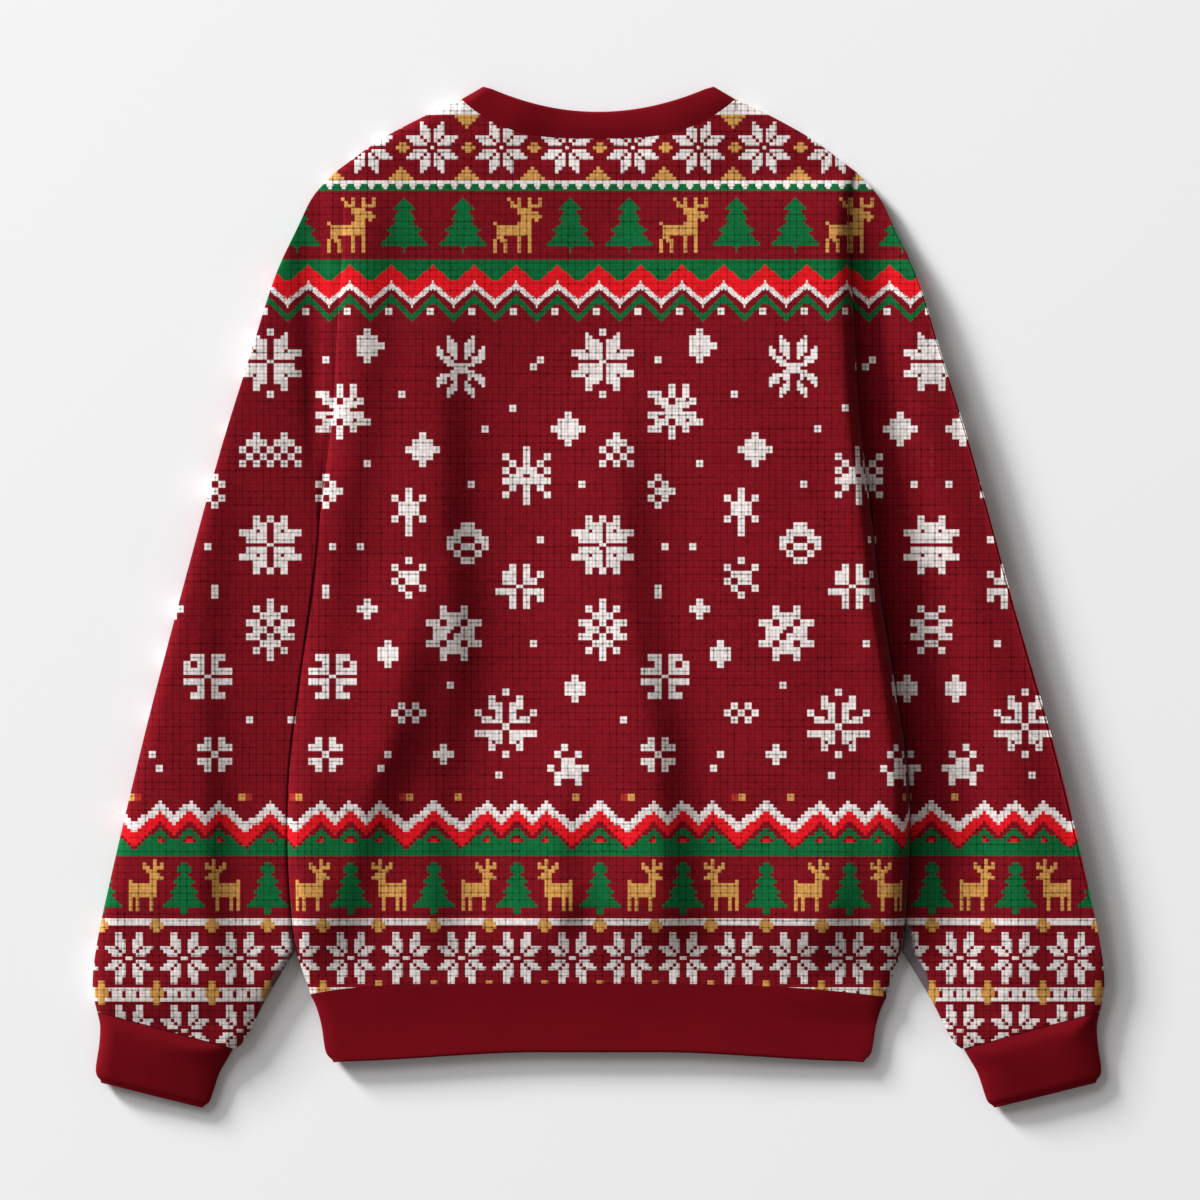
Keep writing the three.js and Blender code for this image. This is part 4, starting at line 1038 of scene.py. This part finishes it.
def row_ramp(wiring, place, rows):
    """A stepped ramp that holds rows of a chart, each row as three numbers of sixteen cells."""
    made = wiring.node("ShaderNodeValToRGB", {"Fac": place})
    ramp = made.color_ramp
    ramp.interpolation = "CONSTANT"
    levels = [(0.0, 0.0, 0.0)]
    for row in rows:
        words = [sum(1 << bit for bit in np.flatnonzero(row[BITS * k:BITS * (k + 1)])) for k in range(3)]
        levels.append(tuple(word / 2 ** BITS for word in words))
    levels.append((0.0, 0.0, 0.0))
    ramp.elements.remove(ramp.elements[1])
    ramp.elements[0].position, ramp.elements[0].color = 0.0, (0.0, 0.0, 0.0, 1.0)
    for i in range(1, len(levels)):
        if levels[i] != levels[i - 1]:
            ramp.elements.new(i / RAMP_STEPS).color = (*levels[i], 1.0)
    return made.outputs["Color"]


def chart_masks(wiring, chart, across, up):
    """Masks of a chart's colours at a place on the cloth, read back cell by cell."""
    if chart.turns:
        first, span = chart.turns
        folded = wiring.math("PINGPONG", wiring.math("SUBTRACT", across, first), span)
        across = wiring.math("ADD", folded, first)
    column = wiring.math("DIVIDE", wiring.math("SUBTRACT", across, chart.left), chart.cell)
    column = wiring.math("FLOOR", wiring.math("FLOORED_MODULO", column, float(chart.columns)))
    row = wiring.math("FLOOR", wiring.math("DIVIDE", wiring.math("SUBTRACT", chart.top, up), chart.cell))
    word = wiring.math("FLOOR", wiring.math("DIVIDE", column, float(BITS)))
    bit = wiring.math("MODULO", column, float(BITS))
    weight = wiring.math("POWER", 2.0, wiring.math("MULTIPLY", bit, -1.0))
    pickers = [
        wiring.vector(*(wiring.math("COMPARE", word, float(first + k), 0.5) for k in range(3)))
        for first in range(0, math.ceil(chart.columns / BITS), 3)]
    starts = range(0, chart.rows, RAMP_ROWS)
    # A row is read in the middle of its step, after an empty first step.
    places = {start: wiring.math("MULTIPLY_ADD", row, 1 / RAMP_STEPS, (1.5 - start) / RAMP_STEPS)
              for start in starts}
    masks = {}
    for colour, plane in chart.marks.items():
        total = None
        for start in starts:
            for block, picker in enumerate(pickers):
                cells = plane[start:start + RAMP_ROWS, 3 * BITS * block:3 * BITS * (block + 1)]
                if not cells.any():
                    continue
                words = row_ramp(wiring, places[start], cells)
                picked = wiring.node("ShaderNodeVectorMath", {0: words, 1: picker}, operation="DOT_PRODUCT")
                read = picked.outputs["Value"]
                total = read if total is None else wiring.math("ADD", total, read)
        scaled = wiring.math("MULTIPLY", wiring.math("MULTIPLY_ADD", total, 2.0 ** BITS, 0.25), weight)
        masks[colour] = wiring.math("MODULO", wiring.math("FLOOR", scaled), 2.0)
    return masks


def print_group(charts):
    """Yarn-coloured print over the whole cloth, from its place on the laid-out cloth."""
    yarns = {"green": "Green", "bright": "Bright red", "dull": "Dull red", "white": "White", "gold": "Gold"}
    wiring, given, result = shader_group(
        "Winter print",
        (("Cloth", "vector"), ("Field", "colour"), *((name, "colour") for name in yarns.values())),
        (("Colour", "colour"), ("Pale", "value")))
    across, up = wiring.across_and_up(given["Cloth"])
    totals = {}
    for chart in charts:
        for colour, mask in chart_masks(wiring, chart, across, up).items():
            totals[colour] = wiring.math("MAXIMUM", totals[colour], mask) if colour in totals else mask
    printed = given["Field"]
    for colour, name in yarns.items():
        printed = wiring.mix(totals[colour], printed, given[name])
    wiring.feed(result["Colour"], printed)
    wiring.feed(result["Pale"], wiring.math("MAXIMUM", totals["white"], totals["gold"]))
    return wiring.tree


# Printed stitch lines: how dark the dots, the lines on every second cell, the lines on every cell and the
# tone from stitch to stitch are, and the darkest that all of them make together.
DOTS, STITCH_LINE, FAINT_LINE, UNEVEN_STITCH, DARKEST = 0.4, 0.17, 0.17, 0.18, 0.85
STREAK_FINE, STREAK_LONG = 190.0, 14.0  # how closely the lines' strength varies across and along them
STREAK_STRENGTH = (0.36, 0.64, 0.45, 1.3)  # from these levels of the unevenness to these strengths
# Waves of the lines: how many turns each cell, and how narrow.
LINE_WAVES = (("second", math.pi, 4.0), ("each", 2 * math.pi, 2.5))


def stitch_lines_group():
    """Dark lines of the printed stitches, stronger in some places than others, with dots where every
    second pair of lines cross, and an uneven tone from stitch to stitch."""
    wiring, given, result = shader_group(
        "Stitch lines", (("Cloth", "vector"), ("Cell", "value"), ("Strength", "value")),
        (("Shade", "value"),))
    across, up = wiring.across_and_up(given["Cloth"])
    waves, cells = {}, []
    for axis, start, grain_across, grain_up in ((across, FIELD_LEFT + CELL, STREAK_FINE, STREAK_LONG),
                                                (up, FIELD_TOP, STREAK_LONG, STREAK_FINE)):
        turn = wiring.math("DIVIDE", wiring.math("SUBTRACT", axis, start), given["Cell"])
        cells.append(wiring.math("FLOOR", turn))
        stretched = wiring.vector(wiring.math("MULTIPLY", across, grain_across),
                                  wiring.math("MULTIPLY", up, grain_up))
        streak = wiring.fit(wiring.noise(stretched, 1.0, roughness=0.6), *STREAK_STRENGTH)
        for name, frequency, power in LINE_WAVES:
            wave = wiring.math("COSINE", wiring.math("MULTIPLY", turn, frequency))
            wave = wiring.math("POWER", wiring.math("MULTIPLY_ADD", wave, 0.5, 0.5), power)
            waves.setdefault(name, []).append(wiring.math("MULTIPLY", wave, streak))
    dots = wiring.math("MULTIPLY", *waves["second"])
    lines = wiring.math("MAXIMUM", *waves["second"])
    faint = wiring.math("MAXIMUM", *waves["each"])
    shade = wiring.math("MULTIPLY_ADD", dots, DOTS, wiring.math("MULTIPLY", lines, STITCH_LINE))
    shade = wiring.math("MULTIPLY_ADD", faint, FAINT_LINE, shade)
    uneven = wiring.node("ShaderNodeTexWhiteNoise", {"Vector": wiring.vector(*cells)}, noise_dimensions="2D")
    shade = wiring.math("MULTIPLY_ADD", uneven.outputs["Value"], UNEVEN_STITCH, shade)
    shade = wiring.math("MULTIPLY", shade, given["Strength"])
    wiring.feed(result["Shade"], wiring.math("MINIMUM", shade, DARKEST))
    return wiring.tree


# Fleece: how fine its nap and its broad unevenness are, and how much the knit, nap and unevenness show.
NAP_GRAIN, BROAD_GRAIN = 900.0, 22.0
KNIT_RELIEF, NAP_SHADE, BROAD_SHADE = 0.3, 0.12, 0.25


def fleece_group():
    """Knitted face of the fleece: fine wales, soft pilling and broad unevenness, as height and shade."""
    wiring, given, result = shader_group(
        "Fleece face", (("Cloth", "vector"), ("Wale", "value"), ("Nap", "value")),
        (("Height", "value"), ("Shade", "value")))
    wales, courses = (wiring.math("SINE", wiring.math("DIVIDE", place, given["Wale"]))
                      for place in wiring.across_and_up(given["Cloth"]))
    knit = wiring.math("MULTIPLY", wales, courses)
    nap = wiring.noise(given["Cloth"], NAP_GRAIN, detail=3.0, roughness=0.7)
    broad = wiring.noise(given["Cloth"], BROAD_GRAIN)
    height = wiring.math("MULTIPLY_ADD", nap, given["Nap"], wiring.math("MULTIPLY", knit, KNIT_RELIEF))
    wiring.feed(result["Height"], height)
    shade = wiring.add_uneven(1.0, broad, BROAD_SHADE)
    wiring.feed(result["Shade"], wiring.add_uneven(shade, nap, NAP_SHADE))
    return wiring.tree


# ---------------------------------------------------------------- materials


def srgb(red, green, blue):
    """Colour from the usual 0 to 255 levels."""
    return tuple(((c / 255 + 0.055) / 1.055) ** 2.4 if c > 10 else c / 255 / 12.92
                 for c in (red, green, blue)) + (1.0,)


FIELD = srgb(127, 16, 28)
GREEN = srgb(15, 104, 55)
BRIGHT_RED = srgb(228, 24, 34)
DULL_RED = srgb(172, 48, 40)
WHITE = srgb(240, 230, 226)
GOLD = srgb(216, 158, 84)
CRIMSON = srgb(106, 7, 18)
# Unprinted cloth painted dark grey: painted shade at the sleeve's inner edge beside the body.
BARE_CLOTH_AND_SHADE = srgb(92, 84, 88)

PRINT = print_group((yoke_chart(), tooth_chart(), forest_chart(), peaks_chart(), field_chart(),
                     marks_chart(), lower_peaks_chart(), lower_forest_chart(), hem_chart()))
STITCH_LINES = stitch_lines_group()
FLEECE_FACE = fleece_group()
RED_LINES, PALE_LINES = 0.95, 1.25  # strength of the stitch lines on the reds and on white and gold


def cloth_material(name, roughness, sheen, sheen_roughness, sheen_tint, wale, nap, relief, depth):
    """A cloth without its colour yet: wale and nap set its knit, and relief and depth its bumps."""
    material = bpy.data.materials.new(name)
    material.use_nodes = True
    tree = material.node_tree
    tree.nodes.clear()
    wiring = Wiring(tree)
    shader = wiring.node("ShaderNodeBsdfPrincipled", {
        "Roughness": roughness, "Specular IOR Level": 0.04, "Sheen Weight": sheen,
        "Sheen Roughness": sheen_roughness, "Sheen Tint": sheen_tint})
    wiring.node("ShaderNodeOutputMaterial", {"Surface": shader.outputs[0]})
    cloth = wiring.node("ShaderNodeUVMap", uv_map="cloth").outputs["UV"]
    face = use_group(wiring, FLEECE_FACE, Cloth=cloth, Wale=wale, Nap=nap)
    bump = wiring.node("ShaderNodeBump", {"Strength": relief, "Distance": depth, "Height": face["Height"]})
    wiring.feed(shader.inputs["Normal"], bump.outputs[0])
    return material, wiring, shader.inputs["Base Color"], cloth, face["Shade"]


def printed_fleece():
    material, wiring, base_colour, cloth, face_shade = cloth_material(
        "printed fleece", roughness=0.85, sheen=0.05, sheen_roughness=0.4, sheen_tint=(1.0, 0.8, 0.8, 1.0),
        wale=0.00018, nap=0.5, relief=0.35, depth=0.0004)
    printed = use_group(wiring, PRINT, Cloth=cloth, Field=FIELD, Green=GREEN, Bright_red=BRIGHT_RED,
                        Dull_red=DULL_RED, White=WHITE, Gold=GOLD)
    strength = wiring.fit(printed["Pale"], 0.0, 1.0, RED_LINES, PALE_LINES)
    lines = use_group(wiring, STITCH_LINES, Cloth=cloth, Cell=CELL, Strength=strength)
    kept = wiring.math("MULTIPLY", wiring.math("SUBTRACT", 1.0, lines["Shade"]), face_shade)
    # Painted shade: the bare strip at each sleeve's inner edge takes the dark grey in place of the print.
    bare = wiring.node("ShaderNodeAttribute", attribute_name="bare").outputs["Fac"]
    wiring.feed(base_colour, wiring.mix(bare, wiring.toned(printed["Colour"], kept), BARE_CLOTH_AND_SHADE))
    return material


def band_fleece():
    material, wiring, base_colour, _, face_shade = cloth_material(
        "band fleece", roughness=0.8, sheen=0.02, sheen_roughness=0.35, sheen_tint=(1.0, 0.7, 0.7, 1.0),
        wale=0.00016, nap=0.4, relief=0.25, depth=0.0003)
    wiring.feed(base_colour, wiring.toned(CRIMSON, face_shade))
    return material


MATERIALS = {"printed_fleece": printed_fleece(), "band_fleece": band_fleece()}

# ---------------------------------------------------------------- the garment


def front_height(x, y):
    """Under face of the front, flat on the floor."""
    return 0 * x


pieces = (
    body_panel("front_cloth", FRONT_NECK, front_height, -1, below_neck=20, outwards=10, up=90),
    body_panel("back_cloth", BACK_NECK, back_height, 1, below_neck=56, outwards=30, up=150),
    sleeve("left_sleeve_cloth", -1), sleeve("right_sleeve_cloth", 1),
    neckband("neck_rib"), hem_band("hem_rib"), cuff("left_cuff_rib", -1), cuff("right_cuff_rib", 1),
)

# For each piece: the solid it stands for, its material, its flat width and length and its area in metres,
# and the pieces it rests on.
CLOTHS = (
    ("front_panel", "printed_fleece", (0.47, 0.66), 0.27, []),
    ("back_panel", "printed_fleece", (0.48, 0.66), 0.29, ["front_cloth"]),
    ("sleeve_left", "printed_fleece", (0.29, 0.65), 0.125, []),
    ("sleeve_right", "printed_fleece", (0.29, 0.65), 0.125, []),
    ("neckband", "band_fleece", (0.51, 0.022), None, []),
    ("hem_band", "band_fleece", (0.84, 0.053), None, []),
    ("cuff_left", "band_fleece", (0.215, 0.046), None, []),
    ("cuff_right", "band_fleece", (0.215, 0.046), None, []),
)
for piece, (solid, cloth, flat, area, rests_on) in zip(pieces, CLOTHS):
    piece.data.materials.append(MATERIALS[cloth])
    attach(piece, "root")
    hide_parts(solid)

# ---------------------------------------------------------------- floor, light and camera

FLOOR_HALF, FLOOR_COLOUR = 6.0, (0.84, 0.84, 0.845, 1)
ROOM_COLOUR, ROOM_STRENGTH = (1.0, 0.965, 0.94, 1), 0.242

# Square lights that face the garment: compass side in degrees from +X, degrees above the floor, width in
# metres, watts, colour.
LIGHT_DISTANCE = 20.0
LIGHTS = {
    "window": (137, 15.5, 4.2, 7700.0, (1.0, 1.012, 1.025)),
    "high softbox": (140, 32, 10.0, 2060.0, (1.0, 1.01, 1.02)),
}

# The camera looks straight down. Its view is this wide at the floor.
VIEW_WIDTH, CAMERA_HEIGHT = 0.88889, 8.0
CAMERA_X, CAMERA_Y = 0.0011, -0.0022
SENSOR = 36.0


def place_in_scene(name, data, location=(0, 0, 0)):
    placed = bpy.data.objects.new(name, data)
    placed.location = location
    bpy.context.collection.objects.link(placed)
    return placed


def pale_floor():
    mesh = bpy.data.meshes.new("floor")
    corners = [(x * FLOOR_HALF, y * FLOOR_HALF, 0) for x, y in ((-1, -1), (1, -1), (1, 1), (-1, 1))]
    mesh.from_pydata(corners, [], [(0, 1, 2, 3)])
    material = bpy.data.materials.new("pale floor")
    material.use_nodes = True
    shader = material.node_tree.nodes["Principled BSDF"]
    shader.inputs["Base Color"].default_value = FLOOR_COLOUR
    shader.inputs["Roughness"].default_value = 0.95
    shader.inputs["Specular IOR Level"].default_value = 0.0
    mesh.materials.append(material)
    place_in_scene("floor", mesh)


def soft_light(name, side, elevation, size, power, colour):
    data = bpy.data.lights.new(name, "AREA")
    data.shape, data.size, data.energy, data.color = "SQUARE", size, power, colour
    turn, lift = math.radians(side), math.radians(elevation)
    towards = Vector((math.cos(turn) * math.cos(lift), math.sin(turn) * math.cos(lift), math.sin(lift)))
    light = place_in_scene(name, data, towards * LIGHT_DISTANCE)
    light.rotation_euler = (-light.location).to_track_quat("-Z", "Y").to_euler()


pale_floor()
for name, settings in LIGHTS.items():
    soft_light(name, *settings)
world = bpy.data.worlds.new("studio")
world.use_nodes = True
background = world.node_tree.nodes["Background"]
background.inputs["Color"].default_value = ROOM_COLOUR
background.inputs["Strength"].default_value = ROOM_STRENGTH
bpy.context.scene.world = world

camera_data = bpy.data.cameras.new("camera")
camera_data.sensor_width = SENSOR
camera_data.lens = SENSOR * CAMERA_HEIGHT / VIEW_WIDTH
camera_data.dof.use_dof = False
bpy.context.scene.camera = place_in_scene("camera", camera_data, (CAMERA_X, CAMERA_Y, CAMERA_HEIGHT))
bpy.context.scene.view_settings.view_transform = "Standard"
